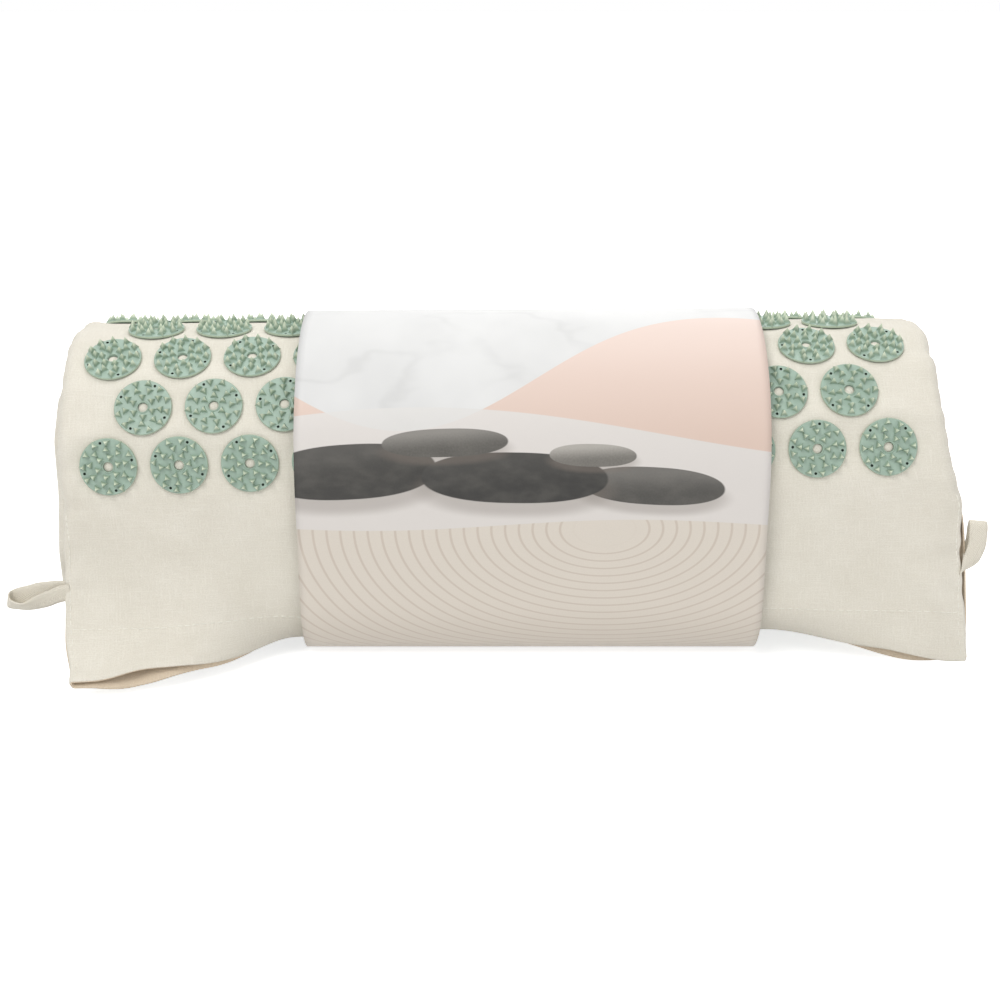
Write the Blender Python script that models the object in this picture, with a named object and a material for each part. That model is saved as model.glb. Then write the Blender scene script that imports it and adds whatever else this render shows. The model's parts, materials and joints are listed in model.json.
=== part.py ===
"""Acupressure mat, rolled up and held by a card belly band.

The mat is a long cloth cover over a foam slab, wound disc side out into an
oval bundle that stands on its flattened underside.  X runs along the roll,
Y points away from the side that carries the mouth of the cover, Z is up.

A place on the mat is given by three lengths: u across the mat, v along it
from the first row of discs, and the depth below its disc side.
"""

import math
from bisect import bisect_left

import bmesh
import bpy
import numpy as np
from mathutils import Matrix, Vector

MM = 0.001

# Mat, laid flat
disc_rows = 20
discs_in_long_row = 12
column_pitch = 32.8 * MM
row_pitch = 27.7 * MM
grid_offset = -1.75 * MM
cover_half_width = 206.5 * MM
mat_thickness = 20.0 * MM
edge_rounding = 5.0 * MM
inner_margin = 24.0 * MM
foam_margin = 22.0 * MM
tail_length = 104.5 * MM

# Cloth, hem and foam
cloth_thickness = 0.8 * MM
hem_width = 21.0 * MM
hem_thickness = 1.3 * MM
tail_thickness = 5.2 * MM
piece_clearance = 0.3 * MM
closed_end_thickness = 2.6 * MM

# Disc with its spikes
disc_radius = 13.4 * MM
disc_plate = 1.2 * MM
disc_bore_radius = 2.4 * MM
spike_height = 3.8 * MM
spike_base_radius = 1.75 * MM
spike_sink = 0.25 * MM
spike_ring_shares = (
    (12, 0.86, 0.0),
    (9, 0.62, 13.0),
    (6, 0.36, 17.0),
)
disc_sides = 18
bore_sides = 6
row_turn = 137.5
column_turn = 52.0
shown_rows = 4
fused_disc_sides = 8
hidden_disc_sides = 6

# Oval that the roll is wound to.  Its six sections are the top arc, the back,
# a corner, the underside, a corner and the front; places along the winding
# count sections, so 4.2 lies a fifth of the way into the second corner.
roll_radius = 62.4 * MM
roll_axis_height = 92.4 * MM
corner_radius = 31.0 * MM
inner_corner_radius = 24.5 * MM
first_row_rise = 14.3 * MM
turn_clearance = 0.8 * MM
winding_skew_share = 0.022
taller_right_share = 0.008
oval_sections = 6
path_sections = 10
under_tail_shares = (2.9, 4.2)
under_mat_shares = (4.95, 5.75)

# Tail: the part of the cover in front that holds no foam
tail_bend_radius = 28.2 * MM
left_kick_angle = math.radians(-65.0)
right_kick_angle = math.radians(-8.0)
kick_start = 34.0 * MM
left_tuck_share = 0.92
right_tuck_share = 0.97
left_kick_share = 0.74
gape_start_share = 0.77
stuffing_ends_shares = (2.2, 0.7)
left_gape = 3.5 * MM
right_gape = 3.0 * MM
tail_lean = 4.0 * MM
tail_spread = 3.0 * MM

# Card belly band
band_left = -95.5 * MM
band_right = 123.8 * MM
band_thickness = 0.4 * MM
band_slide_room = 6.0 * MM
band_arc_steps = 36
band_corner_steps = 9

# Closure tape in the mouth
tape_half_length = 78.0 * MM
tape_width = 16.0 * MM
tape_from_mouth = 3.0 * MM
tape_thickness = 0.6 * MM
tape_steps = 3

# Hang loops of woven tape
loop_tape_width = 8.5 * MM
loop_tape_thickness = 1.0 * MM
loop_reach = 30.0 * MM
loop_swell = 9.0 * MM
loop_stub_length = 3.0 * MM
loop_left_place = -66.0 * MM
loop_right_place = -58.0 * MM
loop_left_lift = math.radians(-9.0)
loop_right_lift = math.radians(58.0)
loop_steps = 24

tail_steps = 24
path_samples = 240
across_count = 10
foam_across_count = 5


def rgb(red, green, blue):
    """Linear colour of one sRGB colour given in 0..255."""
    def linear(channel):
        share = channel / 255.0
        if share <= 0.04045:
            return share / 12.92
        return ((share + 0.055) / 1.055) ** 2.4
    return (linear(red), linear(green), linear(blue), 1.0)


def material(name, colour, roughness, metallic=0.0):
    """Principled material with one colour."""
    made = bpy.data.materials.new(name)
    made.use_nodes = True
    made.diffuse_color = colour
    shader = made.node_tree.nodes["Principled BSDF"]
    shader.inputs["Base Color"].default_value = colour
    shader.inputs["Roughness"].default_value = roughness
    shader.inputs["Metallic"].default_value = metallic
    return made


def smooth(value, start, end):
    """Smooth step from 0 at start to 1 at end, which may lie either way."""
    share = min(max((value - start) / (end - start), 0.0), 1.0)
    return share * share * (3.0 - 2.0 * share)


class WindingPath:
    """Curve of the cover's disc side in the YZ plane, by its own length."""

    def __init__(self):
        disc_height = disc_plate + spike_height
        self.tail_inset = tail_thickness + disc_height + turn_clearance
        self.full_inset = mat_thickness + disc_height + turn_clearance
        self.floor = self.bottom_of_cloth()
        lengths = [0.0]
        points = [self.point_at(0.0)]
        for index in range(1, path_sections * path_samples):
            point = self.point_at(index / path_samples)
            step = math.dist(point, points[-1])
            points.append(point)
            lengths.append(lengths[-1] + step)
        self.lengths = lengths
        self.points = points

    @staticmethod
    def bottom_of_cloth():
        """Height of the cloth's underside over the floor."""
        tips = disc_plate + spike_height
        return tips + piece_clearance + band_thickness

    def inset_at(self, place):
        """Inset of the mat at one place of its winding, in oval sections."""
        tuck = self.tail_inset * smooth(place, *under_tail_shares)
        further = self.full_inset - self.tail_inset
        return tuck + further * smooth(place, *under_mat_shares)

    def point_at(self, place):
        """Point of the oval: 0 is the front end of the top arc."""
        inset = self.inset_at(place)
        half = roll_radius - inset
        low = self.floor + inset
        tighter = corner_radius - inner_corner_radius
        corner = corner_radius - smooth(inset, 0.0, self.tail_inset) * tighter
        section = int(place) % oval_sections
        share = place - int(place)
        if section == 0:
            angle = math.pi * share
            return (-half * math.cos(angle), roll_axis_height + half * math.sin(angle))
        if section == 1:
            return (half, roll_axis_height + (low + corner - roll_axis_height) * share)
        if section == 2:
            angle = 0.5 * math.pi * share
            return (half - corner + corner * math.cos(angle),
                    low + corner - corner * math.sin(angle))
        if section == 3:
            run = half - corner
            return (run - 2.0 * run * share, low)
        if section == 4:
            angle = 0.5 * math.pi * share
            return (-(half - corner) - corner * math.sin(angle),
                    low + corner - corner * math.cos(angle))
        return (-half, low + corner + (roll_axis_height - low - corner) * share)

    def read(self, length):
        """Point and outward normal at one length past the front end of the arc."""
        index = bisect_left(self.lengths, length)
        index = min(max(index, 1), len(self.lengths) - 1)
        start, end = self.lengths[index - 1], self.lengths[index]
        share = (length - start) / (end - start)
        first, second = self.points[index - 1], self.points[index]
        point = tuple(a + (b - a) * share for a, b in zip(first, second))
        low = self.points[max(index - 3, 0)]
        high = self.points[min(index + 2, len(self.points) - 1)]
        along = Vector((high[0] - low[0], high[1] - low[1])).normalized()
        return Vector(point), Vector((-along.y, along.x))


PATH = WindingPath()


def front_run():
    """Length of the tail from the top arc down to its bend."""
    return roll_axis_height - PATH.floor - corner_radius


def heading_at(x, run):
    """Lean of the tail from straight down: under the roll (+) or forward (-)."""
    left_start = band_left - band_slide_room
    right_start = band_right + edge_rounding
    left_tuck = smooth(x, -left_tuck_share * cover_half_width, left_start)
    right_tuck = smooth(x, right_tuck_share * cover_half_width, right_start)
    left_kick = smooth(x, left_start, -left_kick_share * cover_half_width)
    right_kick = smooth(x, right_start, cover_half_width)
    bend = (run - front_run()) / tail_bend_radius
    out = (run - kick_start) / (tail_length - first_row_rise - kick_start)
    tuck = min(max(bend, 0.0), 0.5 * math.pi) * min(left_tuck, right_tuck)
    kick = left_kick_angle * left_kick + right_kick_angle * right_kick
    return tuck + kick * max(out, 0.0)


def tail_point(x, run):
    """Point and outward normal of the tail, at one length below the top arc."""
    step = run / tail_steps
    across, height = -roll_radius, roll_axis_height
    for index in range(tail_steps):
        lean = heading_at(x, (index + 0.5) * step)
        across += step * math.sin(lean)
        height -= step * math.cos(lean)
    lean = heading_at(x, run)
    return Vector((across, height)), Vector((-math.cos(lean), -math.sin(lean)))


def last_row():
    """Place along the mat of its last row of discs."""
    return (disc_rows - 1) * row_pitch


def mat_thickness_at(x, v):
    """Thickness of the mat: full over the foam, two layers in the tail."""
    if v > 0.0:
        closing = smooth(v, last_row() + inner_margin, last_row() + 0.5 * row_pitch)
        return closed_end_thickness + (mat_thickness - closed_end_thickness) * closing
    start, end = (-share * foam_margin for share in stuffing_ends_shares)
    gape = left_gape * smooth(x, -gape_start_share * cover_half_width, -cover_half_width)
    gape += right_gape * smooth(x, gape_start_share * cover_half_width, cover_half_width)
    thin = tail_thickness + gape * smooth(v, -gape_start_share * tail_length, -tail_length)
    return thin + (mat_thickness - thin) * smooth(v, start, end)


def wind(u, v):
    """Place across and along the roll of one place on the flat mat."""
    x = u - v * winding_skew_share
    fall = smooth(v, 0.0, -tail_length)
    x += fall * (tail_lean + tail_spread * u / cover_half_width)
    return x, first_row_rise + v + u * winding_skew_share


def mat_point(u, v, depth):
    """Point of the wound mat in space."""
    x, length = wind(u, v)
    point, normal = PATH.read(length) if length >= 0.0 else tail_point(x, -length)
    place = point - normal * depth
    rise = 1.0 + taller_right_share * x / cover_half_width
    return Vector((x, place.x, place.y * rise))


def offset_line(line, distance):
    """Polyline moved sideways by one distance, with mitred corners."""
    moved = []
    for index, here in enumerate(line):
        before = line[max(index - 1, 0)]
        after = line[min(index + 1, len(line) - 1)]
        sides = []
        for start, end in ((before, here), (here, after)):
            run = Vector((end[0] - start[0], end[1] - start[1]))
            if run.length > 0.0:
                run.normalize()
                sides.append(Vector((-run.y, run.x)))
        side = sum(sides, Vector((0.0, 0.0))).normalized()
        reach = distance / side.dot(sides[0])
        moved.append((here[0] + side.x * reach, here[1] + side.y * reach))
    return moved


def even_places(half, count):
    """Places from one side of the mat to the other, evenly apart."""
    return [half * (2.0 * step / count - 1.0) for step in range(count + 1)]


def panel_line(thickness, half, count):
    """Section of one cloth panel from seam to seam: places across and depths."""
    rounding = edge_rounding * thickness / mat_thickness
    seam = 0.5 * thickness
    flat = even_places(half - rounding, count)
    left = [(-half, seam), (-half, 0.5 * seam), (-half + 0.3 * rounding, 0.3 * rounding)]
    middle = [(place, 0.0) for place in flat]
    right = [(half - 0.3 * rounding, 0.3 * rounding), (half, 0.5 * seam), (half, seam)]
    return left + middle + right


def sheet_solid(name, stations, paint):
    """Closed solid between the outer and inner lines of each station."""
    mesh = bpy.data.meshes.new(name)
    work = bmesh.new()
    outer = [[work.verts.new(point) for point in station[0]] for station in stations]
    inner = [[work.verts.new(point) for point in station[1]] for station in stations]
    rows = len(stations)
    columns = len(outer[0])
    for row in range(rows - 1):
        for column in range(columns - 1):
            for grid in (outer, inner):
                work.faces.new((grid[row][column], grid[row][column + 1],
                                grid[row + 1][column + 1], grid[row + 1][column]))
        for column in (0, columns - 1):
            work.faces.new((outer[row][column], outer[row + 1][column],
                            inner[row + 1][column], inner[row][column]))
    for row in (0, rows - 1):
        for column in range(columns - 1):
            work.faces.new((outer[row][column], outer[row][column + 1],
                            inner[row][column + 1], inner[row][column]))
    bmesh.ops.recalc_face_normals(work, faces=work.faces)
    bmesh.ops.triangulate(work, faces=work.faces)
    work.to_mesh(mesh)
    work.free()
    return add_object(name, mesh, paint)


def add_object(name, mesh, paint):
    """Object for one sub-part, in its own material."""
    made = bpy.data.objects.new(name, mesh)
    bpy.context.scene.collection.objects.link(made)
    mesh.materials.clear()
    mesh.materials.append(paint)
    return made


def row_edges():
    """Places along the mat where it bends, between the rows of discs."""
    return [(row - 0.5) * row_pitch for row in range(disc_rows + 1)]


def spread(start, end, count):
    """Evenly spaced places from start up to, but without, end."""
    return [start + (end - start) * step / count for step in range(count)]


def panel_stations():
    """Places along the mat for the cloth: close together through the tail."""
    start = -tail_length
    hem = start + hem_width
    bend = -(first_row_rise + front_run())
    tail = spread(start, hem, 3) + [hem] + spread(hem + piece_clearance, bend, 2)
    tail += spread(bend, row_edges()[0], 5)
    end = last_row() + inner_margin
    return tail + row_edges() + [end - 0.25 * inner_margin, end]


def panel_wall(v):
    """Cloth thickness, which the hem at the mouth makes larger."""
    return hem_thickness if v <= -tail_length + hem_width else cloth_thickness


def cover_panel(name, is_top, paint):
    """One of the two cloth panels of the cover, from side seam to side seam."""
    gap = 0.5 * piece_clearance
    stations = []
    for v in panel_stations():
        middle = mat_thickness_at(0.0, v)
        outer = panel_line(middle, cover_half_width, across_count)
        inner = offset_line(outer, panel_wall(v))
        tracks = []
        for track in (outer, inner):
            points = []
            for u, depth in track:
                local = mat_thickness_at(wind(u, v)[0], v)
                at_seam = depth > 0.5 * middle - gap
                deep = 0.5 * local - gap if at_seam else depth
                points.append(mat_point(u, v, deep if is_top else local - deep))
            tracks.append(points)
        stations.append(tracks)
    return sheet_solid(name, stations, paint)


def foam_core(paint):
    """Foam slab inside the cover, wound with it."""
    wall = cloth_thickness + piece_clearance
    half = cover_half_width - wall
    thickness = mat_thickness - 2.0 * wall
    line = panel_line(thickness, half, foam_across_count)
    flat_side = piece_clearance
    line = [(u, min(depth, 0.5 * thickness - flat_side)) for u, depth in line]
    stations = []
    for v in row_edges():
        top = [mat_point(u, v, wall + depth) for u, depth in line]
        low = [mat_point(u, v, wall + thickness - depth) for u, depth in line]
        stations.append((top, low))
    return sheet_solid("foam_core", stations, paint)


def closure_tape(name, is_top, paint):
    """Strip of closure tape inside one layer of the mouth."""
    first = -tail_length + tape_from_mouth
    stations = []
    for step in range(tape_steps + 1):
        v = first + tape_width * step / tape_steps
        places = even_places(tape_half_length, foam_across_count)
        near = hem_thickness + piece_clearance
        far = near + tape_thickness
        lines = []
        for depth in (near, far):
            line = []
            for u in places:
                local = mat_thickness_at(wind(u, v)[0], v)
                line.append(mat_point(u, v, depth if is_top else local - depth))
            lines.append(line)
        stations.append(lines)
    return sheet_solid(name, stations, paint)


def disc_frame(row, column, count):
    """Seat of one disc: centre, and axes across, along and out of its facet."""
    u = (column - 0.5 * (count - 1)) * column_pitch + grid_offset
    v = row * row_pitch
    half = 0.5 * row_pitch
    reach = disc_radius
    low = mat_point(u, v - half, 0.0)
    high = mat_point(u, v + half, 0.0)
    left = mat_point(u - reach, v - half, 0.0) + mat_point(u - reach, v + half, 0.0)
    right = mat_point(u + reach, v - half, 0.0) + mat_point(u + reach, v + half, 0.0)
    across = (right - left).normalized()
    out = across.cross(high - low).normalized()
    along = out.cross(across).normalized()
    basis = Matrix((across, along, out)).transposed().to_4x4()
    basis.translation = (low + high) * 0.5
    return basis


def prism(work, sides, radius, low, high, matrix, phase=0.0):
    """Closed prism between two heights."""
    rings = []
    for height in (low, high):
        ring = []
        for side in range(sides):
            angle = phase + 2.0 * math.pi * side / sides
            point = Vector((radius * math.cos(angle), radius * math.sin(angle), height))
            ring.append(work.verts.new(matrix @ point))
        rings.append(ring)
    work.faces.new(list(reversed(rings[0])))
    work.faces.new(rings[1])
    for side in range(sides):
        other = (side + 1) % sides
        work.faces.new((rings[0][side], rings[0][other], rings[1][other], rings[1][side]))


def spike(work, centre_radius, angle, turn):
    """Three sided pyramid on the disc's plate, its foot a little below the top."""
    centre = Vector((centre_radius * math.cos(angle), centre_radius * math.sin(angle), 0.0))
    foot = disc_plate - spike_sink
    reach = spike_base_radius * (spike_height + spike_sink) / spike_height
    base = []
    for side in range(3):
        around = turn + 2.0 * math.pi * side / 3.0
        offset = Vector((reach * math.cos(around), reach * math.sin(around), foot))
        base.append(work.verts.new(centre + offset))
    tip = work.verts.new(centre + Vector((0.0, 0.0, disc_plate + spike_height)))
    work.faces.new(list(reversed(base)))
    for side in range(3):
        work.faces.new((base[side], base[(side + 1) % 3], tip))


def mesh_object(name, fill):
    """Object whose mesh one function fills."""
    mesh = bpy.data.meshes.new(name)
    work = bmesh.new()
    fill(work)
    work.to_mesh(mesh)
    work.free()
    made = bpy.data.objects.new(name, mesh)
    bpy.context.scene.collection.objects.link(made)
    return made


def combined(base, tools, name):
    """Mesh of the base after each Boolean with its tool; the tools are removed."""
    for tool, operation in tools:
        step = base.modifiers.new(operation.lower(), "BOOLEAN")
        step.operation = operation
        step.object = tool
        step.solver = "EXACT"
    graph = bpy.context.evaluated_depsgraph_get()
    mesh = bpy.data.meshes.new_from_object(base.evaluated_get(graph))
    mesh.name = name
    bpy.data.objects.remove(base)
    for tool, _ in tools:
        bpy.data.objects.remove(tool)
    return mesh


def disc_mesh():
    """Plate with its bore and three rings of spikes."""
    def plate(work):
        prism(work, disc_sides, disc_radius, 0.0, disc_plate, Matrix.Identity(4))

    def bore(work):
        prism(work, bore_sides, disc_bore_radius, -disc_plate, 2.0 * disc_plate,
              Matrix.Identity(4))

    def spikes(work):
        for count, share, offset in spike_ring_shares:
            for index in range(count):
                angle = math.radians(offset) + 2.0 * math.pi * index / count
                turn = angle if index % 2 == 0 else angle + math.pi
                spike(work, share * disc_radius, angle, turn)

    base = mesh_object("plate_form", plate)
    tools = ((mesh_object("bore_form", bore), "DIFFERENCE"),
             (mesh_object("spike_form", spikes), "UNION"))
    return combined(base, tools, "disc")


def disc_places():
    """Row, column and row length of every disc; every other row has one less."""
    for row in range(disc_rows):
        count = discs_in_long_row - row % 2
        for column in range(count):
            yield row, column, count


def clear_of_band(row, column, count):
    """Whether most of a disc stands out from under the band."""
    x = disc_frame(row, column, count).translation.x
    return x < band_left or x > band_right


def is_shown(row, column, count):
    """Whether a disc lies clear of the band on the front or the top."""
    return row < shown_rows and clear_of_band(row, column, count)


def disc_turn(row, column):
    """Angle at which a disc happens to be set."""
    return math.radians(row * row_turn + column * column_turn)


def single_discs(mesh, paint):
    """Discs that show, each its own piece."""
    for row, column, count in disc_places():
        if not is_shown(row, column, count):
            continue
        made = bpy.data.objects.new(f"disc_row{row + 1:02d}_col{column + 1:02d}", mesh)
        bpy.context.scene.collection.objects.link(made)
        lift = Matrix.Translation((0.0, 0.0, piece_clearance))
        spin = Matrix.Rotation(disc_turn(row, column), 4, "Z")
        made.matrix_world = disc_frame(row, column, count) @ lift @ spin
    mesh.materials.append(paint)


def fuse_discs(panel):
    """Raises the discs that stay with the cover on its top panel."""
    outer_rows = int((PATH.lengths[4 * path_samples] - first_row_rise) / row_pitch)

    def plates(work):
        for row, column, count in disc_places():
            if is_shown(row, column, count):
                continue
            bare = row < outer_rows and clear_of_band(row, column, count)
            sides = fused_disc_sides if bare else hidden_disc_sides
            prism(work, sides, disc_radius, -0.5 * cloth_thickness,
                  disc_plate, disc_frame(row, column, count), disc_turn(row, column))

    tool = mesh_object("plates_form", plates)
    step = panel.modifiers.new("discs", "BOOLEAN")
    step.operation = "UNION"
    step.object = tool
    step.solver = "EXACT"
    tool.hide_render = True
    tool.display_type = "WIRE"


def band_profile(offset):
    """Closed outline of the belly band, moved out by one distance."""
    facet = roll_radius * math.cos(math.asin(0.5 * row_pitch / roll_radius))
    tips = facet + piece_clearance + disc_plate + spike_height
    outer_ring = spike_ring_shares[0][1] * disc_radius
    half = math.hypot(tips, outer_ring) + piece_clearance + offset
    low = band_thickness - offset
    corner = corner_radius + half - roll_radius
    points = []
    for step in range(band_arc_steps + 1):
        angle = math.pi * step / band_arc_steps
        points.append((-half * math.cos(angle), roll_axis_height + half * math.sin(angle)))
    for side in (1.0, -1.0):
        for step in range(band_corner_steps + 1):
            share = step if side > 0.0 else band_corner_steps - step
            angle = 0.5 * math.pi * share / band_corner_steps
            points.append((side * (half - corner + corner * math.cos(angle)),
                           low + corner - corner * math.sin(angle)))
    return points


def belly_band(paint):
    """Card sleeve round the middle of the roll."""
    inner = band_profile(0.0)
    outer = band_profile(band_thickness)

    def fill(work):
        rings = []
        for x in (band_left, band_right):
            rise = 1.0 + taller_right_share * x / cover_half_width
            for outline in (outer, inner):
                rings.append([work.verts.new((x, y, z * rise)) for y, z in outline])
        count = len(outer)
        left_outer, left_inner, right_outer, right_inner = rings
        for index in range(count):
            after = (index + 1) % count
            for first, second in ((left_outer, right_outer), (right_inner, left_inner),
                                  (left_inner, left_outer), (right_outer, right_inner)):
                work.faces.new((first[index], first[after], second[after], second[index]))
        bmesh.ops.recalc_face_normals(work, faces=work.faces)

    made = mesh_object("belly_band", fill)
    made.data.materials.append(paint)
    return made


def hang_loop(name, side, v, lift, paint):
    """Loop of woven tape on the tail's side seam, standing out at one angle."""
    root = loop_root(side, v)
    out = Vector((side * math.cos(lift), 0.0, math.sin(lift)))
    up = Vector((-side * math.sin(lift), 0.0, math.cos(lift)))
    wide = Vector((0.0, 0.5 * loop_tape_width, 0.0))
    stub = loop_tape_thickness
    hole_start = loop_stub_length + loop_tape_thickness

    def outline(start, end, height, least):
        points = []
        for step in range(loop_steps):
            angle = 2.0 * math.pi * step / loop_steps
            share = 0.5 * (1.0 - math.cos(angle))
            reach = start + (end - start) * share
            rise = height * math.sin(angle) * math.sin(0.5 * angle) ** 1.5
            if least > 0.0 and 0 < step < loop_steps and abs(rise) < least:
                rise = math.copysign(least, math.sin(angle)) if share < 0.5 else rise
            points.append(root + out * reach + up * rise)
        return points

    outer = outline(-0.5 * stub, loop_reach, loop_swell, stub)
    inner = outline(hole_start, loop_reach - loop_tape_thickness,
                    loop_swell - loop_tape_thickness, 0.0)

    def fill(work):
        rings = []
        for shift in (wide, -wide):
            for line in (outer, inner):
                rings.append([work.verts.new(point + shift) for point in line])
        near_outer, near_inner, far_outer, far_inner = rings
        for index in range(loop_steps):
            after = (index + 1) % loop_steps
            for first, second in ((near_outer, far_outer), (far_inner, near_inner),
                                  (near_inner, near_outer), (far_outer, far_inner)):
                work.faces.new((first[index], first[after], second[after], second[index]))
        bmesh.ops.recalc_face_normals(work, faces=work.faces)

    made = mesh_object(name, fill)
    made.data.materials.append(paint)
    return made


def loop_root(side, v):
    """Centre of a hang loop's seam, on the axis that it flops about."""
    seam = mat_point(side * cover_half_width, v, 0.5 * tail_thickness)
    return seam + Vector((side * (piece_clearance + 0.5 * loop_tape_thickness), 0.0, 0.0))


def centre_on_floor():
    """Moves the whole model so that its box stands centred on the origin."""
    bpy.context.view_layer.update()
    solids = [item for item in bpy.data.objects if not item.hide_render]
    corners = np.array([item.matrix_world @ vertex.co
                        for item in solids for vertex in item.data.vertices])
    low, high = corners.min(axis=0), corners.max(axis=0)
    shift = Vector((-0.5 * (low[0] + high[0]), -0.5 * (low[1] + high[1]), -low[2]))
    for item in bpy.data.objects:
        item.matrix_world = Matrix.Translation(shift) @ item.matrix_world
    return shift


def build():
    """Builds every sub-part."""
    for item in list(bpy.data.objects):
        bpy.data.objects.remove(item)
    linen = material("linen", rgb(224, 219, 207), 0.9)
    lining = material("lining", rgb(218, 213, 201), 0.9)
    foam = material("foam", rgb(236, 226, 196), 0.95)
    plastic = material("sage_plastic", rgb(152, 170, 152), 0.45)
    card = material("card", rgb(238, 232, 226), 0.55)
    webbing = material("webbing", rgb(216, 208, 192), 0.9)
    tape = material("closure_tape", rgb(206, 198, 182), 0.85)

    panel = cover_panel("cover_top_panel", True, linen)
    fuse_discs(panel)
    cover_panel("cover_back_panel", False, lining)
    foam_core(foam)
    closure_tape("hook_tape", True, tape)
    closure_tape("loop_tape", False, tape)
    belly_band(card)
    single_discs(disc_mesh(), plastic)
    hang_loop("hang_loop_left", -1.0, loop_left_place, loop_left_lift, webbing)
    hang_loop("hang_loop_right", 1.0, loop_right_place, loop_right_lift, webbing)
    shift = centre_on_floor()
    report(shift)


def report(shift):
    """Prints the places that a fitter needs."""
    for name, side, v in (("left", -1.0, loop_left_place), ("right", 1.0, loop_right_place)):
        root = loop_root(side, v) + shift
        print(f"hang loop {name} axis through", [round(value, 6) for value in root])
    print("moved by", [round(value, 6) for value in shift])
    for item in bpy.data.objects:
        if not item.hide_render:
            print(item.name, len(item.data.vertices))


build()
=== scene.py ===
"""Dressed scene of a rolled acupressure mat.

The mat is a linen cover over a foam slab, set with rows of spiked plastic discs and
wound disc side out.  A printed card sleeve holds the roll.  Lengths are metres, X runs
along the roll, Y points away from the mouth of the cover and Z is up.  A place on the
mat is given by u across it, v along it from the first row of discs, and its depth.
"""

import json
import logging
import math
from dataclasses import dataclass, field, replace
from enum import Enum

import bpy
import numpy as np
from mathutils import Matrix, Vector


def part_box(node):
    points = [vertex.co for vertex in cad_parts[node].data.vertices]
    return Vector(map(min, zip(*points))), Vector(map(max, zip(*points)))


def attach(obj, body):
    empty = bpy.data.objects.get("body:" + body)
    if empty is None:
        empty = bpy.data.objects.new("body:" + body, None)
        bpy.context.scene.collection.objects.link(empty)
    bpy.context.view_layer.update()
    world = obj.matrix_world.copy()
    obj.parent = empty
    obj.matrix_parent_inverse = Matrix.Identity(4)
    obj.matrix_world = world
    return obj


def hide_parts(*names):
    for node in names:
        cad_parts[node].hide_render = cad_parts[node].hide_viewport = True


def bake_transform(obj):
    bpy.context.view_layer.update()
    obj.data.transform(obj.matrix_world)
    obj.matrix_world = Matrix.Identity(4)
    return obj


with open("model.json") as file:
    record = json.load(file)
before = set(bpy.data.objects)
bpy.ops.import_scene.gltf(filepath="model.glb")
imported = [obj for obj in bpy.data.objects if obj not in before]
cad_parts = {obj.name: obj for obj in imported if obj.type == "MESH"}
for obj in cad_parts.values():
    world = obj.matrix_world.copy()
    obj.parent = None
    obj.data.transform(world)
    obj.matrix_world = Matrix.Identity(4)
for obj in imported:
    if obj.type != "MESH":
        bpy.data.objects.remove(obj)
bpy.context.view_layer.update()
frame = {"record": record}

MM = 0.001
LOG = logging.getLogger("mat")
Array = np.ndarray
Socket = bpy.types.NodeSocket
Object = bpy.types.Object
Material = bpy.types.Material
Triple = tuple[float, float, float]


class Face(Enum):
    """Which side of the mat a cloth panel covers."""

    TOP = "top"
    BACK = "back"


class Body(Enum):
    """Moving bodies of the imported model."""

    MAT = "mat"
    BAND = "band"
    LEFT_LOOP = "left_loop"
    RIGHT_LOOP = "right_loop"


def smooth(value: Array, start: float, end: float) -> Array:
    """Smooth step from 0 at the start to 1 at the end, which may lie on either side."""
    share = np.clip((value - start) / (end - start), 0, 1)
    return share * share * (3 - 2 * share)


def bump(value: Array, centre: float, reach: float) -> Array:
    """Soft hump of height 1 at the centre that ends at its reach."""
    return smooth(np.abs(value - centre), reach, 0)


def unit(vectors: Array) -> Array:
    """Vectors brought to length 1."""
    return vectors / np.linalg.norm(vectors, axis=-1, keepdims=True)


def running_length(line: Array) -> Array:
    """Length along a line of points, at each of them."""
    return np.concatenate([[0], np.cumsum(np.linalg.norm(np.diff(line, axis=0), axis=1))])


def eased(points: Array) -> Array:
    """Rows of points, each drawn a little towards the rows beside it."""
    middle = 0.25 * points[:-2] + 0.5 * points[1:-1] + 0.25 * points[2:]
    return np.concatenate([points[:1], middle, points[-1:]])


def grid_normals(points: Array) -> Array:
    """Unit normals of a grid of points, by row and column."""
    return unit(np.cross(np.gradient(points, axis=1), np.gradient(points, axis=0)))


def ripples(u: Array, v: Array, size: float, seed: int, stretch: float = 1) -> Array:
    """Soft unevenness made of a few crossing waves.

    Args:
        u: Places across.
        v: Places along.
        size: Typical width of one swell.
        seed: Picks the waves.
        stretch: How much longer the swells are along v than across.

    Returns:
        Heights of about -1 to 1.
    """
    draw = np.random.default_rng(seed)
    total = 0 * (u + v)
    for _ in range(7):
        heading = draw.uniform(0, 2 * np.pi)
        pitch = size * draw.uniform(0.75, 1.5)
        phase = draw.uniform(0, 2 * np.pi)
        place = u * np.cos(heading) + v * np.sin(heading) / stretch
        total = total + np.sin(2 * np.pi * place / pitch + phase)
    return total / 3.2


def colour(*channels: float) -> tuple[float, ...]:
    """Linear colour, with its alpha, of an sRGB colour given in 0..255."""
    shares = [channel / 255 for channel in channels]
    return (*[((c + 0.055) / 1.055) ** 2.4 if c > 0.04045 else c / 12.92 for c in shares], 1.0)


def seated(along: Vector, out: Vector, spot: Vector) -> Matrix:
    """Finds the place of a form that sits on a surface.

    Args:
        along: Direction of its X.
        out: Direction out of the surface, for its Z.
        spot: Where it sits.

    Returns:
        Its matrix.
    """
    side = out.cross(along).normalized()
    turn = Matrix((along, side, along.cross(side))).transposed()
    return Matrix.Translation(spot) @ turn.to_4x4()


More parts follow.
